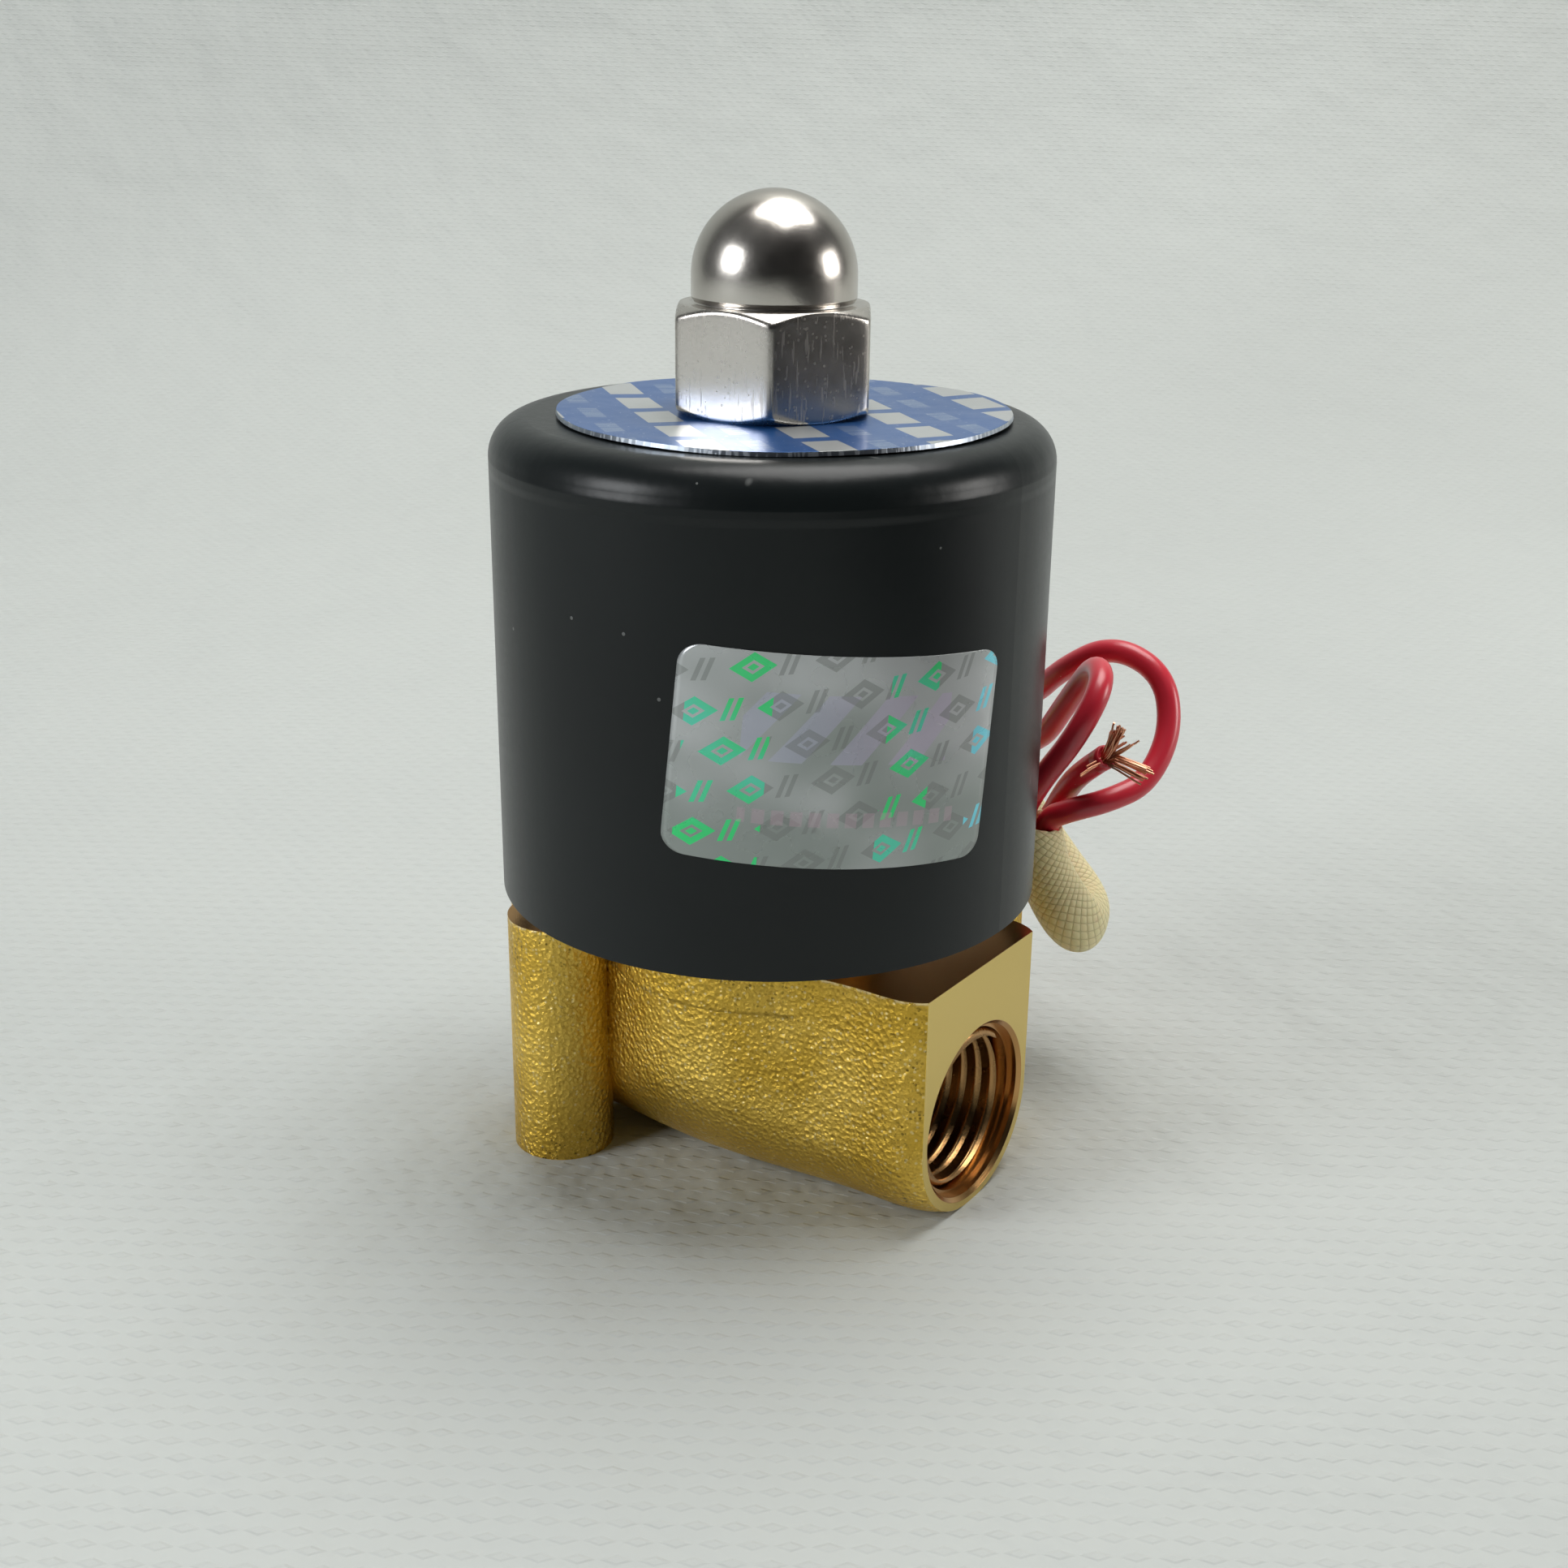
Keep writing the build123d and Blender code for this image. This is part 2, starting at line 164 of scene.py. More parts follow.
def grain_group():
    """Two sizes of noise: a height for bump and a slow shade for colour and gloss."""
    inputs = [("Vector", "Vector", None), ("Scale", "Float", 1000.0), ("Roughness", "Float", 0.6)]
    tree, given, out = new_group("grain", inputs, [("Height", "Float"), ("Shade", "Float")])
    fine = {"Vector": given["Vector"], "Scale": given["Scale"]}
    fine.update({"Roughness": given["Roughness"], "Detail": 4.0})
    height = add(tree, "ShaderNodeTexNoise", fine).outputs[0]
    slow = {"Vector": given["Vector"], "Scale": calc(tree, "MULTIPLY", given["Scale"], 0.06), "Detail": 3.0}
    shade = add(tree, "ShaderNodeTexNoise", slow).outputs[0]
    tree.links.new(height, out["Height"])
    tree.links.new(ramp(tree, shade, 0.3, 0.7), out["Shade"])
    return tree


def speck_group():
    """Small separate spots, such as dust and dirt, each a different size."""
    inputs = [("Vector", "Vector", None), ("Scale", "Float", 800.0)]
    inputs += [("Size", "Float", 0.1), ("Share", "Float", 0.3)]
    tree, given, out = new_group("specks", inputs, [("Mask", "Float")])
    cells = add(tree, "ShaderNodeTexVoronoi", {"Vector": given["Vector"], "Scale": given["Scale"]})
    chosen = add(tree, "ShaderNodeSeparateColor", {0: cells.outputs["Color"]}).outputs[0]
    present = calc(tree, "LESS_THAN", chosen, given["Share"])
    edge = calc(tree, "SUBTRACT", given["Size"], cells.outputs["Distance"])
    spot = calc(tree, "MULTIPLY", calc(tree, "GREATER_THAN", edge, 0.0), present)
    tree.links.new(spot, out["Mask"])
    return tree


def scratch_group():
    """Sparse thin lines: noise stretched along one axis, cut off high."""
    inputs = [("Vector", "Vector", None), ("Across", "Float", 900.0)]
    inputs += [("Along", "Float", 40.0), ("Cut", "Float", 0.68)]
    tree, given, out = new_group("scratches", inputs, [("Mask", "Float")])
    axes = {0: given["Across"], 1: given["Across"], 2: given["Along"]}
    stretch = add(tree, "ShaderNodeCombineXYZ", axes).outputs[0]
    inputs = {0: given["Vector"], 1: stretch}
    place = add(tree, "ShaderNodeVectorMath", inputs, operation="MULTIPLY").outputs[0]
    value = add(tree, "ShaderNodeTexNoise", {"Vector": place, "Scale": 1.0, "Detail": 1.0}).outputs[0]
    high = calc(tree, "ADD", given["Cut"], 0.05)
    tree.links.new(ramp(tree, value, given["Cut"], high), out["Mask"])
    return tree


def turning_group():
    """A lathe's or face cutter's fine rings round the axis along which Vector's Z runs."""
    inputs = [("Vector", "Vector", None), ("Rings", "Float", 9000.0)]
    tree, given, out = new_group("turning marks", inputs, [("Height", "Float"), ("Radius", "Float")])
    flat = {0: given["Vector"], 1: (1, 1, 0)}
    flat = add(tree, "ShaderNodeVectorMath", flat, operation="MULTIPLY").outputs[0]
    radius = add(tree, "ShaderNodeVectorMath", {0: flat}, operation="LENGTH").outputs["Value"]
    place = calc(tree, "MULTIPLY", radius, given["Rings"])
    lines = {"W": place, "Scale": 1.0, "Detail": 2.0}
    lines = add(tree, "ShaderNodeTexNoise", lines, noise_dimensions="1D").outputs[0]
    tree.links.new(lines, out["Height"])
    tree.links.new(radius, out["Radius"])
    return tree


def weave_group():
    """Two families of crossing yarns, from a map whose U and V each count whole yarns; the second output is
    painted shade in the low gaps between yarns.
    """
    inputs = [("Vector", "Vector", None), ("Around", "Float", 40.0), ("Along", "Float", 100.0)]
    tree, given, out = new_group("woven yarns", inputs, [("Height", "Float"), ("Gap", "Float")])
    place = add(tree, "ShaderNodeSeparateXYZ", {0: given["Vector"]})
    around = calc(tree, "MULTIPLY", place.outputs[0], given["Around"])
    along = calc(tree, "MULTIPLY", place.outputs[1], given["Along"])
    one_way = calc(tree, "MULTIPLY", calc(tree, "ADD", around, along), math.pi)
    other_way = calc(tree, "MULTIPLY", calc(tree, "SUBTRACT", around, along), math.pi)
    product = calc(tree, "MULTIPLY", calc(tree, "SINE", one_way), calc(tree, "SINE", other_way))
    height = calc(tree, "ABSOLUTE", product)
    tree.links.new(calc(tree, "POWER", height, 0.5), out["Height"])
    # painted shade: the low places between the yarns
    tree.links.new(calc(tree, "SUBTRACT", 1.0, ramp(tree, height, 0.02, 0.3)), out["Gap"])
    return tree


grain = grain_group()
specks = speck_group()
scratches = scratch_group()
turning = turning_group()
woven = weave_group()


class Finish:
    """A material under construction: its tree, its shader and its Object coordinates."""

    def __init__(self, name, colour, roughness, metallic=0.0):
        self.material = bpy.data.materials.new(name)
        self.material.use_nodes = True
        self.material.diffuse_color = colour
        self.tree = self.material.node_tree
        self.shader = self.tree.nodes["Principled BSDF"]
        self.shader.inputs["Base Color"].default_value = colour
        self.shader.inputs["Roughness"].default_value = roughness
        self.shader.inputs["Metallic"].default_value = metallic
        coordinates = self.tree.nodes.new("ShaderNodeTexCoord")
        self.here = coordinates.outputs["Object"]
        self.map = coordinates.outputs["UV"]

    def use(self, tree, **inputs):
        """A shared group with its own values. Vector is the Object coordinates unless given."""
        inputs.setdefault("Vector", self.here)
        node = self.tree.nodes.new("ShaderNodeGroup")
        node.node_tree = tree
        for key, value in inputs.items():
            if isinstance(value, bpy.types.NodeSocket):
                self.tree.links.new(value, node.inputs[key])
            else:
                node.inputs[key].default_value = value
        return node.outputs

    def axes(self):
        return add(self.tree, "ShaderNodeSeparateXYZ", {0: self.here}).outputs

    def moved(self, location=(0, 0, 0), rotation=(0, 0, 0)):
        """The Object coordinates about another place, turned if asked."""
        inputs = {"Vector": self.here, "Location": location, "Rotation": rotation}
        return add(self.tree, "ShaderNodeMapping", inputs, vector_type="TEXTURE").outputs[0]

    def set(self, **sockets):
        """Joins outputs to the shader's sockets, with underscores for spaces in their names."""
        for key, value in sockets.items():
            socket = self.shader.inputs[key.replace("_", " ")]
            if isinstance(value, bpy.types.NodeSocket):
                self.tree.links.new(value, socket)
            else:
                socket.default_value = value

    def bump(self, height, strength, depth, before=None):
        """Adds a bump of that depth in metres; a second one is laid over the first."""
        node = add(self.tree, "ShaderNodeBump", {"Height": height, "Strength": strength, "Distance": depth})
        if before is not None:
            self.tree.links.new(before, node.inputs["Normal"])
        self.tree.links.new(node.outputs[0], self.shader.inputs["Normal"])
        return node.outputs[0]

    def tone(self, value, low, high):
        """Roughness from low to high as the value goes from 0 to 1."""
        inputs = {"Value": value, "To Min": low, "To Max": high}
        self.set(Roughness=add(self.tree, "ShaderNodeMapRange", inputs).outputs[0])


# ---------------------------------------------------------------- metals


def blasted_brass():
    """Forged brass, shot blasted, with machined port faces, top and bores, dirt specks in its corners near
    the top, the ports and the foot, and painted light: bright sparkling specks, a bright line along the top
    edge, a dark line under the rim, and a darker tone of painted shade on the top, the chamber and the
    bores.
    """
    finish = Finish("blasted_brass", rgb(0.74, 0.50, 0.105), 0.36, 1.0)
    tree = finish.tree
    x, _, z = finish.axes()
    margin = 0.03 * mm
    faces = calc(tree, "GREATER_THAN", x, body_high.x - margin)
    faces = calc(tree, "MAXIMUM", faces, calc(tree, "LESS_THAN", x, body_low.x + margin))
    top = calc(tree, "GREATER_THAN", z, body_high.z - margin)
    port_axis = finish.moved((0, 0, port_height), (0, math.radians(90), 0))
    rings = finish.use(turning, Vector=port_axis, Rings=16000.0)
    within = calc(tree, "LESS_THAN", rings["Radius"], port_wall + 0.75 * mm)
    ended = calc(tree, "GREATER_THAN", calc(tree, "ABSOLUTE", x), 9.0 * mm)
    bore = calc(tree, "MULTIPLY", within, ended)
    middle = finish.use(turning, Rings=9000.0)
    chamber_radius = 8.65 * mm
    chamber = calc(tree, "LESS_THAN", middle["Radius"], chamber_radius)
    chamber = calc(tree, "MULTIPLY", chamber, calc(tree, "GREATER_THAN", z, 11.5 * mm))
    outside = calc(tree, "MAXIMUM", faces, top)
    machined = calc(tree, "MAXIMUM", outside, calc(tree, "MAXIMUM", bore, chamber))

    sand = finish.use(grain, Scale=2300.0, Roughness=0.7)
    pits = finish.use(specks, Scale=2300.0, Size=0.34, Share=0.35)
    colour = blend_colour(tree, sand["Shade"], rgb(0.68, 0.43, 0.055), rgb(0.84, 0.57, 0.11))
    dull = calc(tree, "MULTIPLY", pits["Mask"], 0.18)
    colour = blend_colour(tree, dull, colour, rgb(0.30, 0.19, 0.04))
    # painted glints: bright yellow specks in the colour stand in for light sparkling off the blasted grains
    painted_glints = finish.use(specks, Scale=3100.0, Size=0.36, Share=0.22)
    colour = blend_colour(tree, calc(tree, "MULTIPLY", painted_glints["Mask"], 0.55), colour, rgb(1.0, 0.84, 0.42))
    towards_top = ramp(tree, z, body_high.z - 8 * mm, body_high.z)
    towards_port = ramp(tree, calc(tree, "ABSOLUTE", x), body_high.x - 9 * mm, body_high.x)
    towards_foot = ramp(tree, z, 4.0 * mm, 0.0)
    corner = calc(tree, "MULTIPLY", calc(tree, "MAXIMUM", towards_top, towards_port), 0.8)
    corner = calc(tree, "MAXIMUM", corner, towards_foot)
    dirt = finish.use(specks, Scale=3600.0, Size=0.42, Share=0.42)
    patches = finish.use(grain, Scale=900.0, Roughness=0.6)
    dirt_and_rim_shade = calc(tree, "MULTIPLY", dirt["Mask"], ramp(tree, patches["Height"], 0.48, 0.62))
    dirt_and_rim_shade = calc(tree, "MULTIPLY", dirt_and_rim_shade, corner)
    # painted shade: a dark line just under the rim step, round the chamber, laid into the same dark colour
    # as the dirt specks
    painted_rim_shade = calc(tree, "ABSOLUTE", calc(tree, "SUBTRACT", z, rim_step))
    painted_rim_shade = calc(tree, "SUBTRACT", 1.0, ramp(tree, painted_rim_shade, 0.1 * mm, 0.35 * mm))
    painted_rim_shade = calc(tree, "MULTIPLY", painted_rim_shade, inside(tree, middle["Radius"], 11.6 * mm, 13.4 * mm))
    dirt_and_rim_shade = calc(tree, "MAXIMUM", dirt_and_rim_shade, calc(tree, "MULTIPLY", painted_rim_shade, 0.45))
    # the dirt specks and the painted rim shade darken the colour together
    colour = blend_colour(tree, calc(tree, "MULTIPLY", dirt_and_rim_shade, 0.85), colour, rgb(0.07, 0.045, 0.015))

    # painted highlight: a bright broken line along the body's top edge
    painted_edge_highlight = ramp(tree, z, body_high.z - 0.3 * mm, body_high.z - 0.05 * mm)
    painted_edge_highlight = calc(tree, "MULTIPLY", painted_edge_highlight, calc(tree, "GREATER_THAN", sand["Height"], 0.47))
    colour = blend_colour(tree, calc(tree, "MULTIPLY", painted_edge_highlight, 0.7), colour, rgb(0.98, 0.86, 0.55))
    bright = rgb(0.72, 0.54, 0.17)
    colour = blend_colour(tree, faces, colour, bright)
    # painted shade: the top face and the chamber under the can take a darker tone standing in for the dark
    # can reflected in them
    painted_shade_tone = rgb(0.48, 0.26, 0.08)
    colour = blend_colour(tree, calc(tree, "MAXIMUM", top, chamber), colour, painted_shade_tone)
    # painted shade: the bores darker inside
    colour = blend_colour(tree, bore, colour, rgb(0.52, 0.29, 0.11))
    finish.set(Base_Color=colour)
    sanded = calc(tree, "MULTIPLY_ADD", sand["Height"], 0.22, 0.22)
    polished = calc(tree, "MULTIPLY_ADD", rings["Height"], 0.10, 0.17)
    inputs = {"Factor": machined, 2: sanded, 3: polished}
    finish.set(Roughness=add(tree, "ShaderNodeMix", inputs, data_type="FLOAT").outputs[0])

    rough = calc(tree, "SUBTRACT", 1.0, machined)
    bead = finish.use(specks, Scale=2600.0, Size=0.5, Share=0.8)
    cells = add(tree, "ShaderNodeTexVoronoi", {"Vector": finish.here, "Scale": 2500.0}).outputs["Distance"]
    dent = calc(tree, "ADD", calc(tree, "MULTIPLY", cells, 0.8), sand["Height"])
    dent = calc(tree, "ADD", dent, calc(tree, "MULTIPLY", bead["Mask"], 0.1))
    first = finish.bump(calc(tree, "MULTIPLY", dent, rough), 1.0, 0.15 * mm)
    cut = calc(tree, "ADD", calc(tree, "MULTIPLY", rings["Height"], calc(tree, "MAXIMUM", faces, bore)),
               calc(tree, "MULTIPLY", middle["Height"], top))
    finish.bump(cut, 0.35, 0.012 * mm, first)
    return finish.material


def turned_metal(name, colour, roughness=0.26, rings=9000.0, screw_pitch=0.0, screw_from=0.0):
    """Turned bar stock: fine rings round the stem, slight colour drift and, above a height, a thread."""
    finish = Finish(name, colour, roughness, 1.0)
    tree = finish.tree
    marks = finish.use(turning, Rings=rings)
    x, y, z = finish.axes()
    cloud = finish.use(grain, Scale=700.0, Roughness=0.5)
    darker = tuple(0.72 * part for part in colour[:3]) + (1.0,)
    finish.set(Base_Color=blend_colour(tree, cloud["Shade"], darker, colour))
    finish.tone(cloud["Height"], roughness - 0.06, roughness + 0.16)
    along = {"W": calc(tree, "MULTIPLY", z, rings), "Detail": 2.0}
    along = add(tree, "ShaderNodeTexNoise", along, noise_dimensions="1D").outputs[0]
    lines = calc(tree, "ADD", marks["Height"], along)
    first = finish.bump(lines, 0.3, 0.01 * mm)
    if screw_pitch > 0:
        angle = calc(tree, "ARCTAN2", y, x)
        turns = calc(tree, "DIVIDE", calc(tree, "MULTIPLY", z, 2 * math.pi), screw_pitch)
        wave = calc(tree, "SINE", calc(tree, "SUBTRACT", turns, angle))
        wave = calc(tree, "MULTIPLY", wave, calc(tree, "GREATER_THAN", z, screw_from))
        finish.bump(wave, 1.0, 0.32 * mm, first)
    return finish.material


def nickel():
    """Nickel plate over a pressed nut: pitted dome, and flats with a few upright lines and small nicks."""
    finish = Finish("nickel_plate", rgb(0.60, 0.565, 0.52), 0.2, 1.0)
    tree = finish.tree
    z = finish.axes()[2]
    pits = finish.use(grain, Scale=3400.0, Roughness=0.7)
    cloud = finish.use(grain, Scale=620.0, Roughness=0.6)
    colour = blend_colour(tree, cloud["Shade"], rgb(0.50, 0.46, 0.415), rgb(0.64, 0.61, 0.57))
    hex_top = nut_low.z + nut_hex_height
    flat = calc(tree, "LESS_THAN", z, hex_top)
    lines = finish.use(scratches, Across=4200.0, Along=420.0, Cut=0.62)
    nicks = finish.use(specks, Scale=3000.0, Size=0.3, Share=0.3)
    marks = calc(tree, "MULTIPLY", calc(tree, "MAXIMUM", lines["Mask"], nicks["Mask"]), flat)
    colour = blend_colour(tree, calc(tree, "MULTIPLY", marks, 0.3), colour, rgb(0.36, 0.33, 0.30))
    finish.set(Base_Color=colour)
    gloss = calc(tree, "MULTIPLY_ADD", cloud["Height"], 0.14, 0.17)
    finish.set(Roughness=calc(tree, "ADD", gloss, calc(tree, "MULTIPLY", marks, 0.08)))
    first = finish.bump(pits["Height"], 0.34, 0.018 * mm)
    finish.bump(marks, 0.15, 0.01 * mm, first)
    return finish.material


def bare_copper():
    finish = Finish("bare_copper", rgb(0.83, 0.42, 0.26), 0.3, 1.0)
    cloud = finish.use(grain, Scale=1500.0, Roughness=0.6)
    colours = (rgb(0.62, 0.27, 0.15), rgb(0.90, 0.52, 0.35))
    finish.set(Base_Color=blend_colour(finish.tree, cloud["Shade"], *colours))
    finish.tone(cloud["Height"], 0.2, 0.42)
    finish.bump(cloud["Height"], 0.2, 0.01 * mm)
    return finish.material


def wound_copper():
    """The winding's outside: enamelled wire laid turn by turn, with painted shade in the grooves between
    turns.
    """
    finish = Finish("wound_copper", rgb(0.62, 0.25, 0.11), 0.28, 0.9)
    tree = finish.tree
    z = finish.axes()[2]
    wire = 0.22 * mm
    round_wire = calc(tree, "ABSOLUTE", calc(tree, "SINE", calc(tree, "MULTIPLY", z, math.pi / wire)))
    cloud = finish.use(grain, Scale=900.0, Roughness=0.5)
    colours = (rgb(0.38, 0.13, 0.05), rgb(0.72, 0.32, 0.15))
    # painted shade: darker copper in the grooves between the turns, lighter on their crests
    finish.set(Base_Color=blend_colour(tree, round_wire, *colours))
    finish.tone(cloud["Height"], 0.2, 0.4)
    finish.bump(round_wire, 0.8, 0.06 * mm)
    return finish.material


# ---------------------------------------------------------------- paint, plastic, rubber, silicone


def can_paint():
    """Satin black paint on drawn steel: orange peel, more at the rolled edge, dust and a few hairlines."""
    finish = Finish("satin_black_paint", rgb(0.011, 0.0135, 0.0145), 0.4)
    tree = finish.tree
    z = finish.axes()[2]
    peel = finish.use(grain, Scale=520.0, Roughness=0.45)
    fine = finish.use(grain, Scale=2600.0, Roughness=0.6)
    dust = finish.use(specks, Scale=420.0, Size=0.055, Share=0.16)
    lint = finish.use(scratches, Across=330.0, Along=260.0, Cut=0.765)
    draw = finish.use(turning, Vector=finish.moved((0, 0, 0), (math.radians(90), 0, 0)), Rings=900.0)
    colour = blend_colour(tree, peel["Shade"], rgb(0.0055, 0.0075, 0.008), rgb(0.009, 0.012, 0.0125))
    marks = calc(tree, "MAXIMUM", dust["Mask"], lint["Mask"])
    colour = blend_colour(tree, calc(tree, "MULTIPLY", marks, 0.4), colour, rgb(0.34, 0.35, 0.34))
    finish.set(Base_Color=colour, Specular_IOR_Level=0.27)
    gloss = calc(tree, "MULTIPLY_ADD", fine["Height"], 0.08, 0.27)
    gloss = calc(tree, "ADD", gloss, calc(tree, "MULTIPLY", draw["Height"], 0.02))
    finish.set(Roughness=gloss)
    roll = calc(tree, "ABSOLUTE", calc(tree, "SUBTRACT", z, can_top - 3.1 * mm))
    roll = calc(tree, "SUBTRACT", 1.0, ramp(tree, roll, 0.2 * mm, 0.9 * mm))
    first = finish.bump(roll, 0.7, 0.10 * mm)
    edge = calc(tree, "MULTIPLY_ADD", ramp(tree, z, can_top - 6 * mm, can_top - 2 * mm), 0.8, 0.2)
    second = finish.bump(calc(tree, "MULTIPLY", peel["Height"], edge), 0.45, 0.07 * mm, first)
    finish.bump(fine["Height"], 0.22, 0.01 * mm, second)
    return finish.material


def plain_solid(name, colour, roughness, scale=1200.0, depth=0.02):
    """A moulded or cast plastic: slight mottling and a fine skin."""
    finish = Finish(name, colour, roughness)
    cloud = finish.use(grain, Scale=scale, Roughness=0.55)
    darker = tuple(0.78 * part for part in colour[:3]) + (1.0,)
    finish.set(Base_Color=blend_colour(finish.tree, cloud["Shade"], darker, colour))
    finish.tone(cloud["Height"], roughness - 0.08, roughness + 0.12)
    finish.bump(cloud["Height"], 0.35, depth * mm)
    return finish.material


def silicone():
    """Glossy red silicone with a faint cloud, handling dust and a soft inner glow."""
    finish = Finish("red_silicone", rgb(0.50, 0.012, 0.028), 0.3)
    tree = finish.tree
    cloud = finish.use(grain, Scale=700.0, Roughness=0.5)
    dust = finish.use(specks, Scale=1500.0, Size=0.09, Share=0.10)
    colour = blend_colour(tree, cloud["Shade"], rgb(0.54, 0.018, 0.036), rgb(0.66, 0.030, 0.055))
    colour = blend_colour(tree, calc(tree, "MULTIPLY", dust["Mask"], 0.35), colour, rgb(0.75, 0.5, 0.5))
    finish.set(Base_Color=colour, Subsurface_Weight=0.12, Subsurface_Scale=0.0006, Coat_Weight=0.25)
    finish.set(Coat_Roughness=0.22)
    finish.tone(cloud["Height"], 0.26, 0.42)
    finish.bump(cloud["Height"], 0.25, 0.02 * mm)
    return finish.material


def glass_weave(spot):
    """Varnished woven glass yarn, pale yellow, with painted shade in the gaps between its yarns and a red
    smear where the leads rub it.
    """
    finish = Finish("woven_glass", rgb(0.66, 0.60, 0.34), 0.5)
    tree = finish.tree
    yarns = finish.use(woven, Vector=finish.map, Around=17.0, Along=52.0)
    cloud = finish.use(grain, Scale=420.0, Roughness=0.5)
    fibre = finish.use(grain, Scale=5200.0, Roughness=0.7)
    colour = blend_colour(tree, cloud["Shade"], rgb(0.66, 0.55, 0.25), rgb(0.80, 0.71, 0.41))
    # painted shade: darker colour in the gaps between the yarns
    colour = blend_colour(tree, calc(tree, "MULTIPLY", yarns["Gap"], 0.45), colour, rgb(0.40, 0.33, 0.13))
    away = {0: finish.here, 1: spot}
    away = add(tree, "ShaderNodeVectorMath", away, operation="DISTANCE").outputs["Value"]
    smear = calc(tree, "SUBTRACT", 1.0, ramp(tree, away, 0.3 * mm, 0.75 * mm))
    colour = blend_colour(tree, calc(tree, "MULTIPLY", smear, 0.8), colour, rgb(0.60, 0.05, 0.04))
    finish.set(Base_Color=colour, Subsurface_Weight=0.15, Subsurface_Scale=0.0008)
    finish.tone(fibre["Height"], 0.42, 0.62)
    first = finish.bump(yarns["Height"], 0.8, 0.09 * mm)
    finish.bump(fibre["Height"], 0.3, 0.015 * mm, first)
    return finish.material


# ---------------------------------------------------------------- printed plate and label


def printed_plate():
    """Anodised blue with broken bare silver bands and short plain bars, under clear lacquer."""
    finish = Finish("printed_plate", rgb(0.02, 0.10, 0.36), 0.2, 0.6)
    tree = finish.tree
    turned = finish.moved((0, 0, 0), (0, 0, math.radians(52)))
    place = add(tree, "ShaderNodeSeparateXYZ", {0: turned}).outputs
    bands = calc(tree, "MULTIPLY_ADD", place[0], 1 / (8.2 * mm), 0.35)
    band_share = calc(tree, "FRACT", bands)
    band = calc(tree, "FLOOR", bands)
    pieces = calc(tree, "MULTIPLY_ADD", place[1], 1 / (6.1 * mm), calc(tree, "MULTIPLY", band, 0.37))
    piece_share = calc(tree, "FRACT", pieces)
    field = inside(tree, band_share, 0.1, 0.42)
    field = calc(tree, "MULTIPLY", field, inside(tree, piece_share, 0.1, 0.85))
    cell = calc(tree, "MULTIPLY_ADD", band, 7.13, calc(tree, "FLOOR", pieces))
    bars = {"W": calc(tree, "ADD", cell, calc(tree, "MULTIPLY", place[1], 1900.0))}
    bars = add(tree, "ShaderNodeTexNoise", bars, noise_dimensions="1D").outputs[0]
    bars = calc(tree, "GREATER_THAN", bars, 0.52)
    bars = calc(tree, "MULTIPLY", bars, inside(tree, band_share, 0.62, 0.8))
    marks = calc(tree, "MULTIPLY", bars, inside(tree, piece_share, 0.12, 0.72))
    silver = rgb(0.50, 0.52, 0.52)
    colour = blend_colour(tree, field, rgb(0.022, 0.115, 0.36), silver)
    colour = blend_colour(tree, calc(tree, "MULTIPLY", marks, 0.7), colour, rgb(0.42, 0.50, 0.58))
    fine = finish.use(scratches, Across=2600.0, Along=2600.0, Cut=0.70)
    colour = blend_colour(tree, calc(tree, "MULTIPLY", fine["Mask"], 0.4), colour, rgb(0.55, 0.62, 0.72))
    cloud = finish.use(grain, Scale=500.0, Roughness=0.5)
    finish.set(Base_Color=colour, Coat_Weight=0.3, Coat_Roughness=0.2)
    finish.tone(cloud["Height"], 0.28, 0.44)
    finish.bump(cloud["Height"], 0.25, 0.05 * mm)
    return finish.material


def sheared_edge():
    """The plate's punched edge: bright, with upright tear lines."""
    finish = Finish("sheared_edge", rgb(0.72, 0.73, 0.75), 0.35, 1.0)
    tree = finish.tree
    lines = finish.use(scratches, Across=2600.0, Along=200.0, Cut=0.5)
    colour = blend_colour(tree, lines["Mask"], rgb(0.44, 0.50, 0.58), rgb(0.60, 0.65, 0.71))
    finish.set(Base_Color=colour)
    finish.tone(lines["Mask"], 0.3, 0.42)
    finish.bump(lines["Mask"], 0.3, 0.015 * mm)
    return finish.material


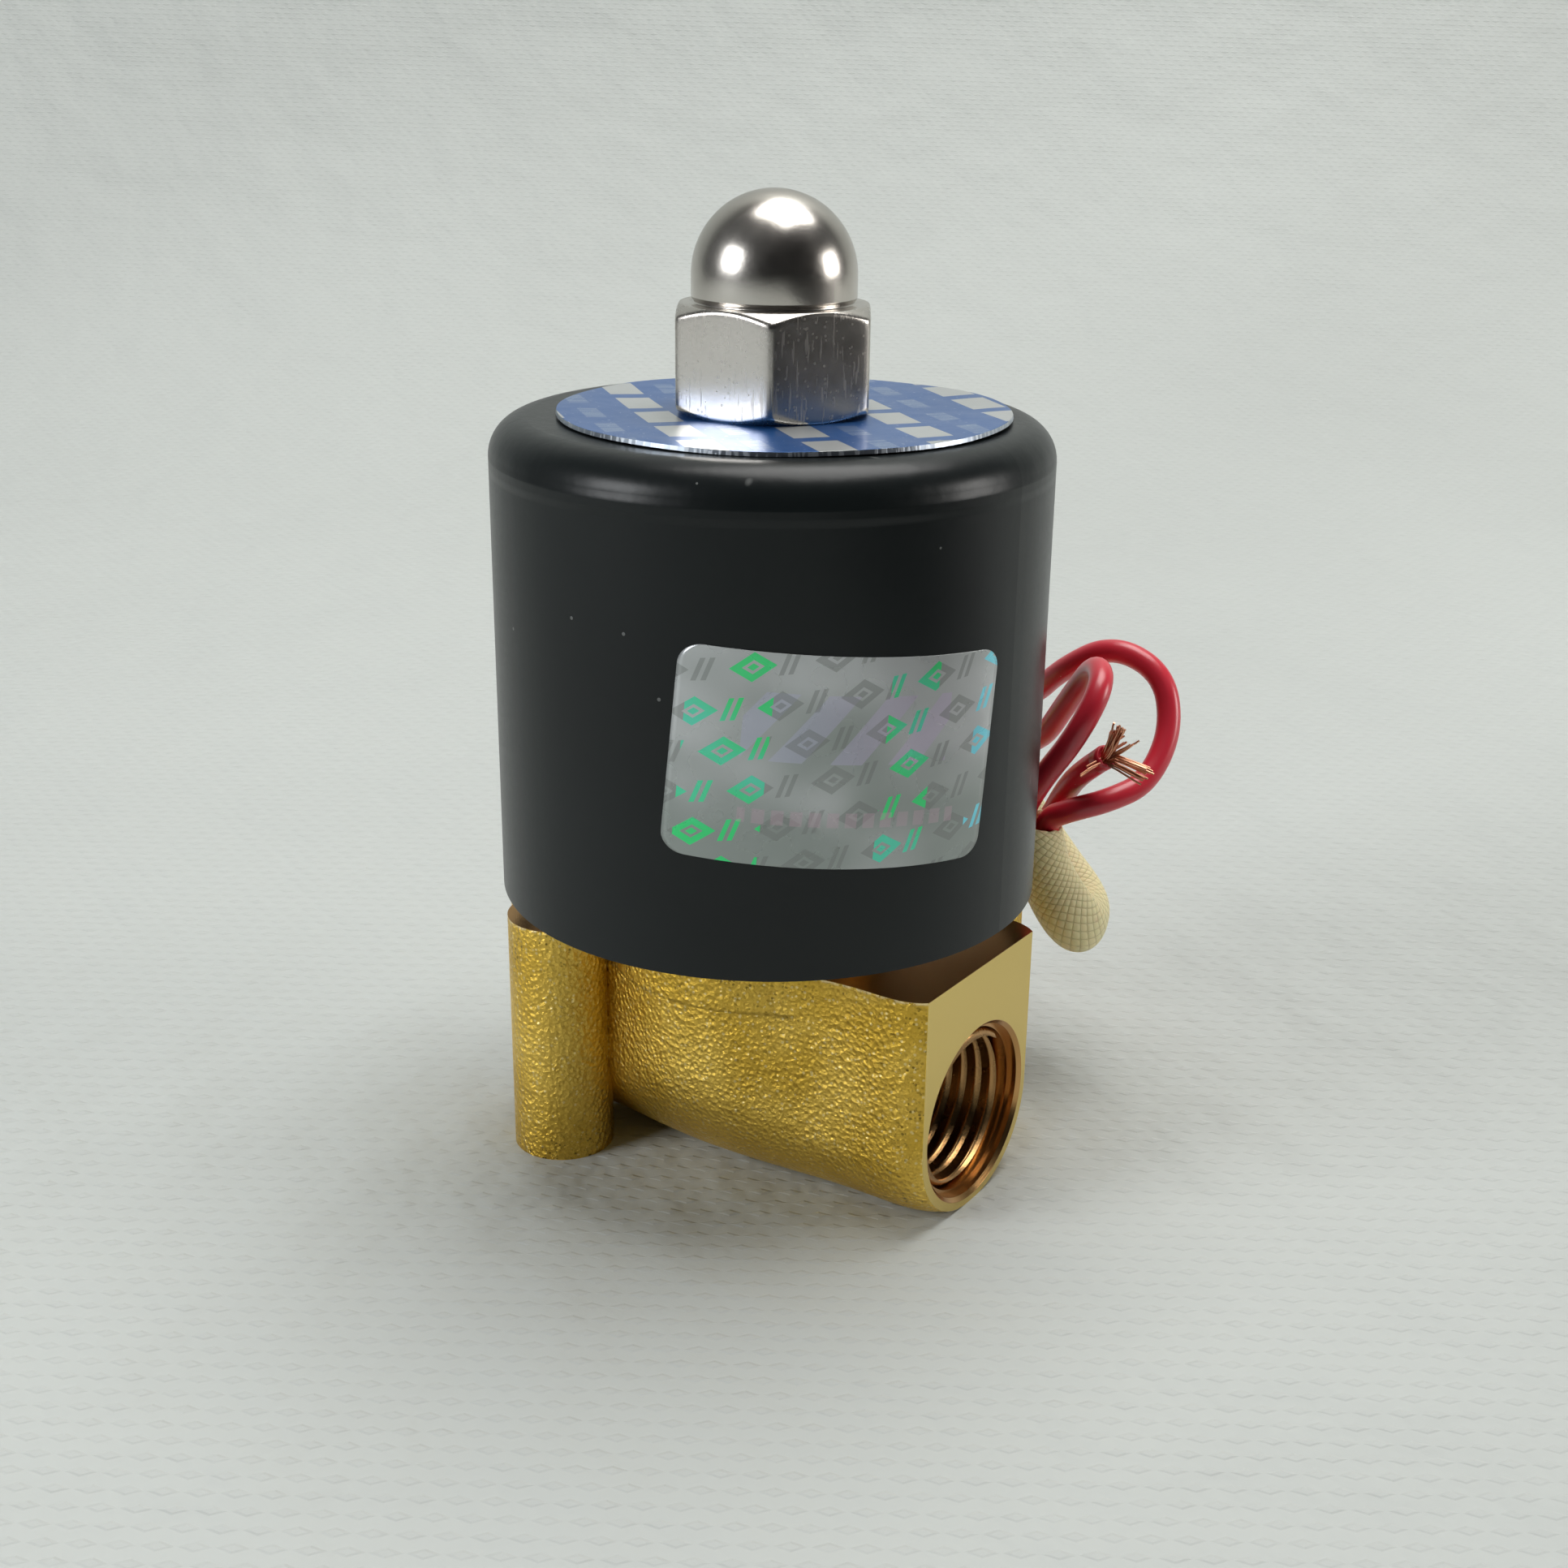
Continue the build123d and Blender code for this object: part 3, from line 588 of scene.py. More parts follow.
def foil_label():
    """Silver foil with slanted rows of plain bar clusters and a row of dashes, darker and lighter in patches
    and lighter towards its top, with painted light: the hologram's colour play as it caught the light, green
    marks to the left and right, cyan near the right edge and violet bands across the middle.
    """
    finish = Finish("embossed_foil", rgb(0.55, 0.57, 0.56), 0.3, 0.55)
    tree = finish.tree
    place = add(tree, "ShaderNodeSeparateXYZ", {0: finish.map}).outputs
    slant = 0.3
    across = calc(tree, "MULTIPLY", place[0], 4.2)
    level = calc(tree, "MULTIPLY_ADD", place[0], -slant, place[1])
    upwards = calc(tree, "MULTIPLY", level, 5.2)
    row = calc(tree, "FLOOR", upwards)
    shifted = calc(tree, "ADD", across, calc(tree, "MULTIPLY", row, 0.37))
    column = calc(tree, "FLOOR", shifted)
    across_share = calc(tree, "FRACT", shifted)
    up_share = calc(tree, "FRACT", upwards)
    from_middle = calc(tree, "ABSOLUTE", calc(tree, "SUBTRACT", across_share, 0.34))
    from_line = calc(tree, "ABSOLUTE", calc(tree, "SUBTRACT", up_share, 0.5))
    reach = calc(tree, "ADD", calc(tree, "MULTIPLY", from_middle, 1.3), from_line)
    lozenge = inside(tree, reach, 0.17, 0.36)
    kernel = calc(tree, "LESS_THAN", reach, 0.09)
    leaning = calc(tree, "SUBTRACT", across_share, calc(tree, "MULTIPLY", up_share, 0.16))
    slashes = calc(tree, "GREATER_THAN", calc(tree, "FRACT", calc(tree, "MULTIPLY", leaning, 9.0)), 0.45)
    slashes = calc(tree, "MULTIPLY", slashes, inside(tree, leaning, 0.56, 0.78))
    slashes = calc(tree, "MULTIPLY", slashes, inside(tree, up_share, 0.24, 0.78))
    cluster = calc(tree, "MAXIMUM", calc(tree, "MAXIMUM", lozenge, kernel), slashes)

    cell = add(tree, "ShaderNodeCombineXYZ", {0: column, 1: row, 2: 0.0}).outputs[0]
    chance = add(tree, "ShaderNodeTexWhiteNoise", {"Vector": cell}, noise_dimensions="3D").outputs["Value"]
    patch = add(tree, "ShaderNodeTexNoise", {"Vector": finish.map, "Scale": 2.4, "Detail": 1.0}).outputs[0]
    # painted light: marks to the left and right, and near the right edge, are coloured as the hologram
    # catches the light; the others stay dark grey
    left = inside(tree, place[0], 0.03, 0.27)
    right = inside(tree, place[0], 0.62, 0.78)
    painted_lit_marks = calc(tree, "MAXIMUM", left, right)
    painted_lit_marks = calc(tree, "MAXIMUM", painted_lit_marks, calc(tree, "GREATER_THAN", place[0], 0.93))
    painted_lit_marks = calc(tree, "MULTIPLY", painted_lit_marks, calc(tree, "GREATER_THAN", chance, 0.12))
    green = blend_colour(tree, ramp(tree, patch, 0.42, 0.62), rgb(0.02, 0.80, 0.22), rgb(0.08, 0.75, 0.52))
    # painted light: cyan colour play near the right edge
    painted_edge_glint = calc(tree, "GREATER_THAN", place[0], 0.88)
    green = blend_colour(tree, painted_edge_glint, green, rgb(0.20, 0.78, 0.95))
    mark = blend_colour(tree, painted_lit_marks, rgb(0.20, 0.215, 0.205), green)

    shade = ramp(tree, calc(tree, "ADD", patch, calc(tree, "MULTIPLY", place[1], 0.35)), 0.45, 0.9)
    foil = blend_colour(tree, shade, rgb(0.30, 0.335, 0.32), rgb(0.55, 0.57, 0.58))
    # painted light: violet bands of the hologram's colour play across the middle
    violet = calc(tree, "MULTIPLY", inside(tree, place[0], 0.19, 0.83), inside(tree, place[1], 0.50, 0.82))
    leaned = calc(tree, "MULTIPLY_ADD", place[1], -0.5, place[0])
    thick = calc(tree, "FRACT", calc(tree, "MULTIPLY", leaned, 5.5))
    painted_sheen_bands = calc(tree, "MULTIPLY", violet, inside(tree, thick, 0.12, 0.66))
    violets = (rgb(0.52, 0.53, 0.74), rgb(0.64, 0.50, 0.76))
    painted_violet_sheen = blend_colour(tree, ramp(tree, place[0], 0.3, 0.75), *violets)
    foil = blend_colour(tree, calc(tree, "MULTIPLY", painted_sheen_bands, 0.4), foil, painted_violet_sheen)
    mark_share = calc(tree, "MULTIPLY", cluster, calc(tree, "MULTIPLY_ADD", painted_lit_marks, 0.4, 0.5))
    colour = blend_colour(tree, mark_share, foil, mark)
    line = inside(tree, place[1], 0.2, 0.27)
    dashes = calc(tree, "GREATER_THAN", calc(tree, "FRACT", calc(tree, "MULTIPLY", place[0], 18.0)), 0.35)
    row_of_dashes = calc(tree, "MULTIPLY", line, dashes)
    row_of_dashes = calc(tree, "MULTIPLY", row_of_dashes, inside(tree, place[0], 0.2, 0.88))
    colour = blend_colour(tree, calc(tree, "MULTIPLY", row_of_dashes, 0.35), colour, rgb(0.62, 0.42, 0.52))
    finish.set(Base_Color=colour, Coat_Weight=0.4, Coat_Roughness=0.1)
    crinkle = finish.use(grain, Scale=260.0, Roughness=0.4)
    finish.tone(crinkle["Height"], 0.2, 0.36)
    first = finish.bump(crinkle["Height"], 0.3, 0.10 * mm)
    finish.bump(cluster, 0.2, 0.02 * mm, first)
    return finish.material


def pale_cloth(name, colour, weave_scale):
    """A pale nonwoven cloth: a small regular emboss, soft creases and a few stains."""
    finish = Finish(name, colour, 0.85)
    tree = finish.tree
    flat = finish.moved((0, 0, 0), (0, 0, math.radians(33)))
    place = add(tree, "ShaderNodeSeparateXYZ", {0: flat}).outputs
    down = calc(tree, "MULTIPLY", calc(tree, "ADD", place[1], place[2]), weave_scale)
    row = calc(tree, "FLOOR", down)
    across = calc(tree, "MULTIPLY_ADD", place[0], weave_scale * 0.7, calc(tree, "MULTIPLY", row, 0.5))
    dot_up = calc(tree, "ABSOLUTE", calc(tree, "SUBTRACT", calc(tree, "FRACT", down), 0.5))
    dot_across = calc(tree, "ABSOLUTE", calc(tree, "SUBTRACT", calc(tree, "FRACT", across), 0.5))
    dot = calc(tree, "ADD", calc(tree, "MULTIPLY", dot_up, 1.6), calc(tree, "MULTIPLY", dot_across, 1.0))
    dot = calc(tree, "SUBTRACT", 1.0, ramp(tree, dot, 0.25, 0.5))
    soft = finish.use(grain, Scale=60.0, Roughness=0.5)
    fibres = finish.use(grain, Scale=1400.0, Roughness=0.7)
    darker = tuple(0.9 * part for part in colour[:3]) + (1.0,)
    shade = blend_colour(tree, soft["Shade"], darker, colour)
    shade = blend_colour(tree, calc(tree, "MULTIPLY", dot, 0.10), shade, rgb(0.42, 0.43, 0.42))
    finish.set(Base_Color=shade, Sheen_Weight=0.1)
    first = finish.bump(soft["Height"], 0.35, 6.0 * mm)
    second = finish.bump(dot, 0.35, 0.25 * mm, first)
    finish.bump(fibres["Height"], 0.3, 0.08 * mm, second)
    return finish.material


# ---------------------------------------------------------------- camera


def set_camera():
    """Above the near right side, a little rolled, far enough for a mild perspective."""
    azimuth = math.radians(34.49)
    elevation = math.radians(19.88)
    roll = 0.01256
    data = bpy.data.cameras.new("camera")
    data.sensor_width = 36.0
    data.lens = 46.37
    data.clip_start = 0.005
    data.clip_end = 20.0
    camera = link_object("camera", data)
    turn = Matrix.Rotation(azimuth, 4, "Z") @ Matrix.Rotation(math.pi / 2 - elevation, 4, "X")
    turn = turn @ Matrix.Rotation(roll, 4, "Z")
    camera.matrix_world = Matrix.Translation((85.77 * mm, -122.81 * mm, 84.68 * mm)) @ turn
    bpy.context.scene.camera = camera
    return camera


camera = set_camera()
picture_right = camera.matrix_world.to_3x3() @ Vector((1, 0, 0))
picture_up = camera.matrix_world.to_3x3() @ Vector((0, 1, 0))

# ---------------------------------------------------------------- leads and sleeve

lead_heading = math.radians(35)
exit_turn = math.radians(50)
exit_height = 28.6
lead_diameter = 2.0 * mm
lead_spacing = 1.08
sleeve_outer = 2.3 * mm
sleeve_inner = 2.08 * mm
straight_out = 5.2
splice_depth = 2.6
sleeve_route = [
    (20.5, 19.6, 23.8),
    (25.0, 17.3, 18.0),
    (27.9, 13.4, 14.4),
    (26.4, 9.0, 14.2),
    (23.3, 9.6, 19.4),
]
sleeve_mouth = (22.3, 9.4, 23.6)
small_loop_route = [
    (21.2, 9.8, 24.2),
    (22.2, 6.4, 28.6),
    (24.7, 4.1, 33.4),
    (26.8, 5.4, 37.4),
    (26.9, 10.2, 37.8),
    (25.4, 14.2, 33.2),
    (23.8, 17.6, 28.4),
    (21.6, 22.2, 26.6),
    (17.2, 25.0, 25.2),
    (11.5, 24.6, 21.6),
    (5.0, 24.2, 21.6),
    (0.2, 23.5, 26.4),
    (0.8, 23.1, 32.8),
    (6.2, 22.8, 37.0),
]
large_loop_route = [
    (23.1, 9.0, 24.3),
    (25.0, 6.8, 26.0),
    (28.0, 6.4, 27.0),
    (31.4, 8.0, 28.0),
    (33.6, 10.4, 31.8),
    (33.0, 12.4, 36.2),
    (29.0, 14.8, 38.0),
    (25.3, 17.8, 35.0),
    (23.2, 21.8, 31.0),
    (18.5, 26.0, 29.0),
    (12.0, 27.6, 26.6),
    (6.4, 27.5, 21.8),
    (6.8, 27.1, 15.6),
    (12.2, 24.2, 12.8),
    (17.6, 18.8, 14.4),
    (21.2, 14.6, 18.6),
    (24.0, 12.6, 22.6),
    (24.9, 10.4, 26.2),
    (25.7, 7.2, 29.2),
    (27.2, 4.9, 31.3),
]


def lead_place(outwards, back, up):
    """A point given along the leads' heading, as the body's own axes in metres."""
    x = outwards * math.cos(lead_heading) - back * math.sin(lead_heading)
    y = outwards * math.sin(lead_heading) + back * math.cos(lead_heading)
    return Vector((x, y, up)) * mm


def exit_place(radius):
    """A point on the leads' way out of the can, at a distance in millimetres from the stem."""
    return lead_place(radius * math.cos(exit_turn), radius * math.sin(exit_turn), exit_height)


def side_step(side):
    return lead_place(0.8, -0.4, 0.45).normalized() * (side * lead_spacing * mm)


def lead_points(side, route):
    """A lead's control points, from its splice through the sleeve and along its own route."""
    can_wall = can_radius / mm
    offset = side_step(side)
    points = [exit_place(can_wall - splice_depth) + offset, exit_place(can_wall + straight_out) + offset]
    points += [lead_place(*point) + offset for point in sleeve_route]
    return points + [lead_place(*point) for point in route]


def smooth_curve(name, points, diameter):
    data = bpy.data.curves.new(name, "CURVE")
    data.dimensions = "3D"
    data.resolution_u = 16
    data.bevel_depth = diameter / 2
    data.bevel_resolution = 7
    data.use_fill_caps = True
    spline = data.splines.new("NURBS")
    spline.points.add(len(points) - 1)
    for control, point in zip(spline.points, points):
        control.co = (*point, 1.0)
    spline.order_u = 3
    spline.use_endpoint_u = True
    return link_object(name, data)


def followed(points):
    """The points that the smooth curve through these control points really passes."""
    guide = plain_mesh(smooth_curve("guide", points, 0.0), "guide")
    line = [vertex.co.copy() for vertex in guide.data.vertices]
    bpy.data.objects.remove(guide)
    return line


def frames_along(line):
    """A tangent and two sides at each point of a line, carried along without twist."""
    frames = []
    side = None
    for index in range(len(line)):
        after = line[min(index + 1, len(line) - 1)]
        before = line[max(index - 1, 0)]
        tangent = (after - before).normalized()
        if side is None:
            side = tangent.orthogonal().normalized()
        side = (side - tangent * side.dot(tangent)).normalized()
        frames.append((tangent, side, tangent.cross(side)))
    return frames


def sleeve_shell(material):
    """The woven sleeve: a thin closed tube, a little swollen and rippled at its fold, with a slanted ragged
    mouth.
    """
    around = 64
    points = [exit_place(can_radius / mm + 1.0), exit_place(can_radius / mm + straight_out)]
    line = followed(points + [lead_place(*point) for point in sleeve_route + [sleeve_mouth]])
    frames = frames_along(line)
    fold = lead_place(26.6, 10.6, 14.6)
    run = [0.0]
    for before, after in zip(line, line[1:]):
        run.append(run[-1] + (after - before).length)
    corners = []
    coordinates = []
    for wall in (sleeve_outer, sleeve_inner):
        for index, point in enumerate(line):
            tangent, side, other = frames[index]
            folded = 1.0 - ease(1.5 * mm, 7.0 * mm, (point - fold).length)
            mouth = ease(run[-1] - 4.0 * mm, run[-1], run[index])
            for step in range(around):
                angle = 2 * math.pi * step / around
                out = side * math.cos(angle) + other * math.sin(angle)
                facing = out.dot(picture_right)
                swell = 1.0 + 0.10 * folded + 0.06 * folded * math.cos(3 * angle) + 0.05 * mouth
                ragged = 0.35 * mm * noise.noise(Vector((4 * math.cos(angle), 4 * math.sin(angle), 1.7)))
                shift = mouth * (ragged + 0.7 * mm - 1.3 * mm * facing)
                corners.append(point + out * (wall * swell) + tangent * shift)
                coordinates.append((step / around, run[index] / run[-1]))
    rows = len(line)
    faces = []
    for row in range(rows - 1):
        for step in range(around):
            after = (step + 1) % around
            first = row * around
            second = (row + 1) * around
            wall = (first + step, first + after, second + after, second + step)
            faces.append(wall)
            faces.append(tuple(rows * around + corner for corner in wall[::-1]))
    for row in (0, rows - 1):
        for step in range(around):
            after = (step + 1) % around
            outer = row * around
            inner = (rows + row) * around
            ring = (outer + step, outer + after, inner + after, inner + step)
            faces.append(ring[::-1] if row == 0 else ring)
    sleeve = mesh_object("lead_sleeve_woven", corners, faces, [material])
    layer = sleeve.data.uv_layers.new(name="yarns")
    for face in sleeve.data.polygons:
        steps = [sleeve.data.loops[loop].vertex_index % around for loop in face.loop_indices]
        wraps = max(steps) - min(steps) > around / 2
        for loop, step in zip(face.loop_indices, steps):
            u, v = coordinates[sleeve.data.loops[loop].vertex_index]
            layer.data[loop].uv = (u + 1.0 if wraps and step == 0 else u, v)
    return sleeve


# ---------------------------------------------------------------- Geometry Nodes


def geometry_tree(name, inputs):
    """An empty Geometry Nodes tree with named inputs, and its given values."""
    tree = bpy.data.node_groups.new(name, "GeometryNodeTree")
    for label, kind in inputs:
        tree.interface.new_socket(label, in_out="INPUT", socket_type="NodeSocket" + kind)
    tree.interface.new_socket("Geometry", in_out="OUTPUT", socket_type="NodeSocketGeometry")
    return tree, tree.nodes.new("NodeGroupInput").outputs


def close_tree(tree, geometry, material):
    """Ends a tree: smooth faces, real geometry, and its material."""
    smooth = add(tree, "GeometryNodeSetShadeSmooth", {"Geometry": geometry}).outputs[0]
    real = add(tree, "GeometryNodeRealizeInstances", {"Geometry": smooth}).outputs[0]
    finished = add(tree, "GeometryNodeSetMaterial", {"Geometry": real, "Material": material}).outputs[0]
    tree.links.new(finished, tree.nodes.new("NodeGroupOutput").inputs[0])


def grow(name, tree, **values):
    """A plain mesh made by a tree with these inputs."""
    holder = link_object(name, bpy.data.meshes.new(name))
    modifier = holder.modifiers.new("grow", "NODES")
    modifier.node_group = tree
    for item in tree.interface.items_tree:
        if item.in_out == "INPUT":
            modifier[item.identifier] = values[item.name.replace(" ", "_")]
    return plain_mesh(holder, name)


def thread_tree():
    """A screw thread's ridge: a trapezoid carried round a spiral, its crest inwards."""
    inputs = [("Turns", "Float"), ("Pitch", "Float"), ("Root radius", "Float"), ("Depth", "Float")]
    inputs += [("Turn", "Vector"), ("Place", "Vector"), ("Material", "Material")]
    tree, given = geometry_tree("screw thread", inputs)
    height = calc(tree, "MULTIPLY", given["Turns"], given["Pitch"])
    spiral = {"Resolution": 72, "Rotations": given["Turns"], "Start Radius": given["Root radius"]}
    spiral.update({"End Radius": given["Root radius"], "Height": height})
    path = add(tree, "GeometryNodeCurveSpiral", spiral).outputs[0]
    path = add(tree, "GeometryNodeSetCurveNormal", {"Curve": path}, mode="Z_UP").outputs[0]
    profile = add(tree, "GeometryNodeCurvePrimitiveQuadrilateral", {
        "Bottom Width": calc(tree, "MULTIPLY", given["Pitch"], 0.96),
        "Top Width": calc(tree, "MULTIPLY", given["Pitch"], 0.16),
        "Offset": 0.0,
        "Height": given["Depth"],
    }, mode="TRAPEZOID").outputs[0]
    inputs = {"Geometry": profile, "Rotation": (0, 0, math.pi / 2)}
    profile = add(tree, "GeometryNodeTransform", inputs).outputs[0]
    inputs = {"Curve": path, "Profile Curve": profile, "Fill Caps": True}
    ridge = add(tree, "GeometryNodeCurveToMesh", inputs).outputs[0]
    inputs = {"Geometry": ridge, "Translation": given["Place"], "Rotation": given["Turn"]}
    close_tree(tree, add(tree, "GeometryNodeTransform", inputs).outputs[0], given["Material"])
    return tree


def strand_tree():
    """A bundle of fine wires or fibres that leave a round end together and fan out unevenly."""
    inputs = [("Count", "Int"), ("Length", "Float"), ("Bundle radius", "Float"), ("Wire radius", "Float")]
    inputs += [("Curl", "Float"), ("Lean", "Vector"), ("Seed", "Int"), ("Material", "Material")]
    tree, given = geometry_tree("loose strands", inputs)
    width = {0: given["Bundle radius"], 1: given["Bundle radius"], 2: 0.0}
    width = add(tree, "ShaderNodeCombineXYZ", width).outputs[0]
    narrow = add(tree, "ShaderNodeVectorMath", {0: width, 3: -1.0}, operation="SCALE").outputs[0]
    scatter = {0: narrow, 1: width, "Seed": given["Seed"]}
    scatter = add(tree, "FunctionNodeRandomValue", scatter, data_type="FLOAT_VECTOR").outputs[0]
    roots = {"Count": given["Count"], "Position": scatter}
    roots = add(tree, "GeometryNodePoints", roots).outputs[0]
    tip = add(tree, "ShaderNodeCombineXYZ", {0: 0.0, 1: 0.0, 2: given["Length"]}).outputs[0]
    wire = add(tree, "GeometryNodeCurvePrimitiveLine", {"Start": (0, 0, 0), "End": tip}).outputs[0]
    wire = add(tree, "GeometryNodeResampleCurve", {"Curve": wire, "Count": 16}).outputs[0]
    size = {2: 0.55, 3: 1.15, "Seed": given["Seed"]}
    size = add(tree, "FunctionNodeRandomValue", size, data_type="FLOAT").outputs[1]
    uneven = add(tree, "ShaderNodeCombineXYZ", {0: 1.0, 1: 1.0, 2: size}).outputs[0]
    wires = {"Points": roots, "Instance": wire, "Scale": uneven}
    wires = add(tree, "GeometryNodeInstanceOnPoints", wires).outputs[0]
    wires = add(tree, "GeometryNodeRealizeInstances", {"Geometry": wires}).outputs[0]
    share = add(tree, "GeometryNodeSplineParameter").outputs["Factor"]
    point = add(tree, "GeometryNodeInputIndex").outputs[0]
    owner = add(tree, "GeometryNodeCurveOfPoint", {"Point Index": point}).outputs[0]
    own = calc(tree, "ADD", calc(tree, "MULTIPLY", owner, 3.71), given["Seed"])
    here = add(tree, "GeometryNodeInputPosition").outputs[0]
    wander = {"Vector": here, "W": own, "Scale": 420.0}
    wander = add(tree, "ShaderNodeTexNoise", wander, noise_dimensions="4D")
    centred = {0: wander.outputs["Color"], 1: (0.5, 0.5, 0.5)}
    centred = add(tree, "ShaderNodeVectorMath", centred, operation="SUBTRACT").outputs[0]
    free = calc(tree, "POWER", share, 1.2)
    amount = calc(tree, "MULTIPLY", free, given["Curl"])
    curl = add(tree, "ShaderNodeVectorMath", {0: centred, 3: amount}, operation="SCALE").outputs[0]
    bend = calc(tree, "MULTIPLY", share, share)
    lean = add(tree, "ShaderNodeVectorMath", {0: given["Lean"], 3: bend}, operation="SCALE").outputs[0]
    offset = add(tree, "ShaderNodeVectorMath", {0: curl, 1: lean}, operation="ADD").outputs[0]
    wires = add(tree, "GeometryNodeSetPosition", {"Geometry": wires, "Offset": offset}).outputs[0]
    section = {"Resolution": 6, "Radius": given["Wire radius"]}
    section = add(tree, "GeometryNodeCurvePrimitiveCircle", section).outputs[0]
    mesh = {"Curve": wires, "Profile Curve": section, "Fill Caps": True}
    mesh = add(tree, "GeometryNodeCurveToMesh", mesh).outputs[0]
    close_tree(tree, mesh, given["Material"])
    return tree


def join(name, objects):
    """Several plain mesh objects as one."""
    whole = objects[0]
    with bpy.context.temp_override(active_object=whole, selected_editable_objects=objects, object=whole):
        bpy.ops.object.join()
    whole.name = name
    return whole


def stand_on(obj, place, direction):
    """Moves a mesh built up +Z from the origin so that it starts at place and runs along direction."""
    turn = direction.to_track_quat("Z", "Y").to_matrix().to_4x4()
    obj.data.transform(Matrix.Translation(place) @ turn)
    obj.data.update()
    return obj


def stripped_end(name, tree, place, direction, tufts, material):
    """Copper strands past the end of a lead, in tufts that lean different ways."""
    bundles = []
    back = direction.to_track_quat("Z", "Y").to_matrix().inverted()
    for seed, (count, length, lean, curl) in enumerate(tufts):
        bundle = grow(name, tree, Count=count, Length=length * mm, Bundle_radius=0.42 * mm,
                      Wire_radius=0.085 * mm, Curl=curl * mm, Lean=back @ (lean * mm), Seed=seed + 3,
                      Material=material)
        bundles.append(stand_on(bundle, place - direction * (0.6 * mm), direction))
    return join(name, bundles)


def stripped_collar(name, place, direction, material):
    """The torn end of the insulation: a short ring, its lip uneven, round the strands."""
    around = 40
    rings = [(-0.9, 1.0, 0.0), (0.0, 1.03, 0.3), (0.25, 0.98, 0.9)]
    rings += [(0.3, 0.8, 1.0), (0.1, 0.62, 0.6), (-0.5, 0.55, 0.0)]
    side = direction.orthogonal().normalized()
    other = direction.cross(side)
    points = []
    for along, radius, torn in rings:
        for step in range(around):
            angle = 2 * math.pi * step / around
            tear = 0.35 * torn * noise.noise(Vector((2.2 * math.cos(angle), 2.2 * math.sin(angle), 5.0)))
            out = side * math.cos(angle) + other * math.sin(angle)
            points.append(place + direction * ((along + tear) * mm) + out * (radius * mm))
    count = len(rings)
    faces = []
    for row in range(count):
        for step in range(around):
            after = (step + 1) % around
            first = row * around
            second = (row + 1) % count * around
            faces.append((first + step, first + after, second + after, second + step))
    return mesh_object(name, points, faces, [material])


# ---------------------------------------------------------------- nut


def nut_shell(material):
    """The domed nut as one surface: each point is as far out as its flat, cone or dome lets it."""
    flats = 14.0 * mm
    corner_turn = math.radians(3.5)
    dome_radius = 6.05 * mm
    height = nut_high.z - nut_low.z
    bore = 5.15 * mm
    around = 192
    corner_radius = flats / math.sqrt(3)
    cone_drop = 0.62

    def hexagon(angle):
        sector = (angle - corner_turn) % (math.pi / 3) - math.pi / 6
        exact = flats / 2 / math.cos(sector)
        limit = corner_radius + 0.1 * mm
        sharpness = 40
        return (exact ** -sharpness + limit ** -sharpness) ** (-1 / sharpness)

    def milled(angle, up):
        """The hexagon at a height, cut back by a cone at each end and rounded where they meet."""
        edge = min(up, nut_hex_height - up)
        cone = corner_radius - 1.15 * mm + edge / cone_drop
        sharpness = 60
        return (hexagon(angle) ** -sharpness + cone ** -sharpness) ** (-1 / sharpness)

    levels = [0.0, 0.02, 0.08, 0.16, 0.26, 0.36, 0.48, 0.6, 0.75, 0.95, 1.3, 2.0, 3.0, 3.9]
    levels = [level * mm for level in levels]
    levels += [nut_hex_height - level for level in levels[-2::-1]]
    groove = dome_radius - 0.22 * mm
    centre = height - dome_radius
    rings = [lambda angle: (bore, 0.0), lambda angle: (6.3 * mm, 0.0)]
    rings += [lambda angle, up=up: (milled(angle, up), up) for up in levels]
    neck = [(6.45, 0.02), (groove / mm + 0.06, 0.0), (groove / mm, 0.14)]
    neck += [(dome_radius / mm - 0.04, 0.34), (dome_radius / mm, 0.5)]
    for radius, above in neck:
        rings.append(lambda angle, ring=(radius * mm, nut_hex_height + above * mm): ring)
    for step in range(25):
        lift = math.pi / 2 * step / 25
        ring = (dome_radius * math.cos(lift), centre + dome_radius * math.sin(lift))
        rings.append(lambda angle, ring=ring: ring)
    points = []
    for ring in rings:
        for step in range(around):
            angle = 2 * math.pi * step / around
            radius, up = ring(angle)
            points.append((radius * math.cos(angle), radius * math.sin(angle), nut_low.z + up))
    faces = []
    for row in range(len(rings) - 1):
        for step in range(around):
            after = (step + 1) % around
            low = row * around
            high = low + around
            faces.append((low + step, low + after, high + after, high + step))
    points.append((0, 0, nut_low.z + height))
    last = (len(rings) - 1) * around
    for step in range(around):
        faces.append((last + step, last + (step + 1) % around, len(points) - 1))
    wall = len(points)
    core_room = core_high.z + 0.8 * mm
    for up in (nut_low.z, core_room):
        for step in range(around):
            angle = 2 * math.pi * step / around
            points.append((bore * math.cos(angle), bore * math.sin(angle), up))
    points.append((0, 0, core_room))
    for step in range(around):
        after = (step + 1) % around
        faces.append((after, step, wall + around + step, wall + around + after))
        faces.append((wall + around + after, wall + around + step, len(points) - 1))
    return mesh_object("cap_nut_plated", points, faces, [material])


# ---------------------------------------------------------------- name plate and label


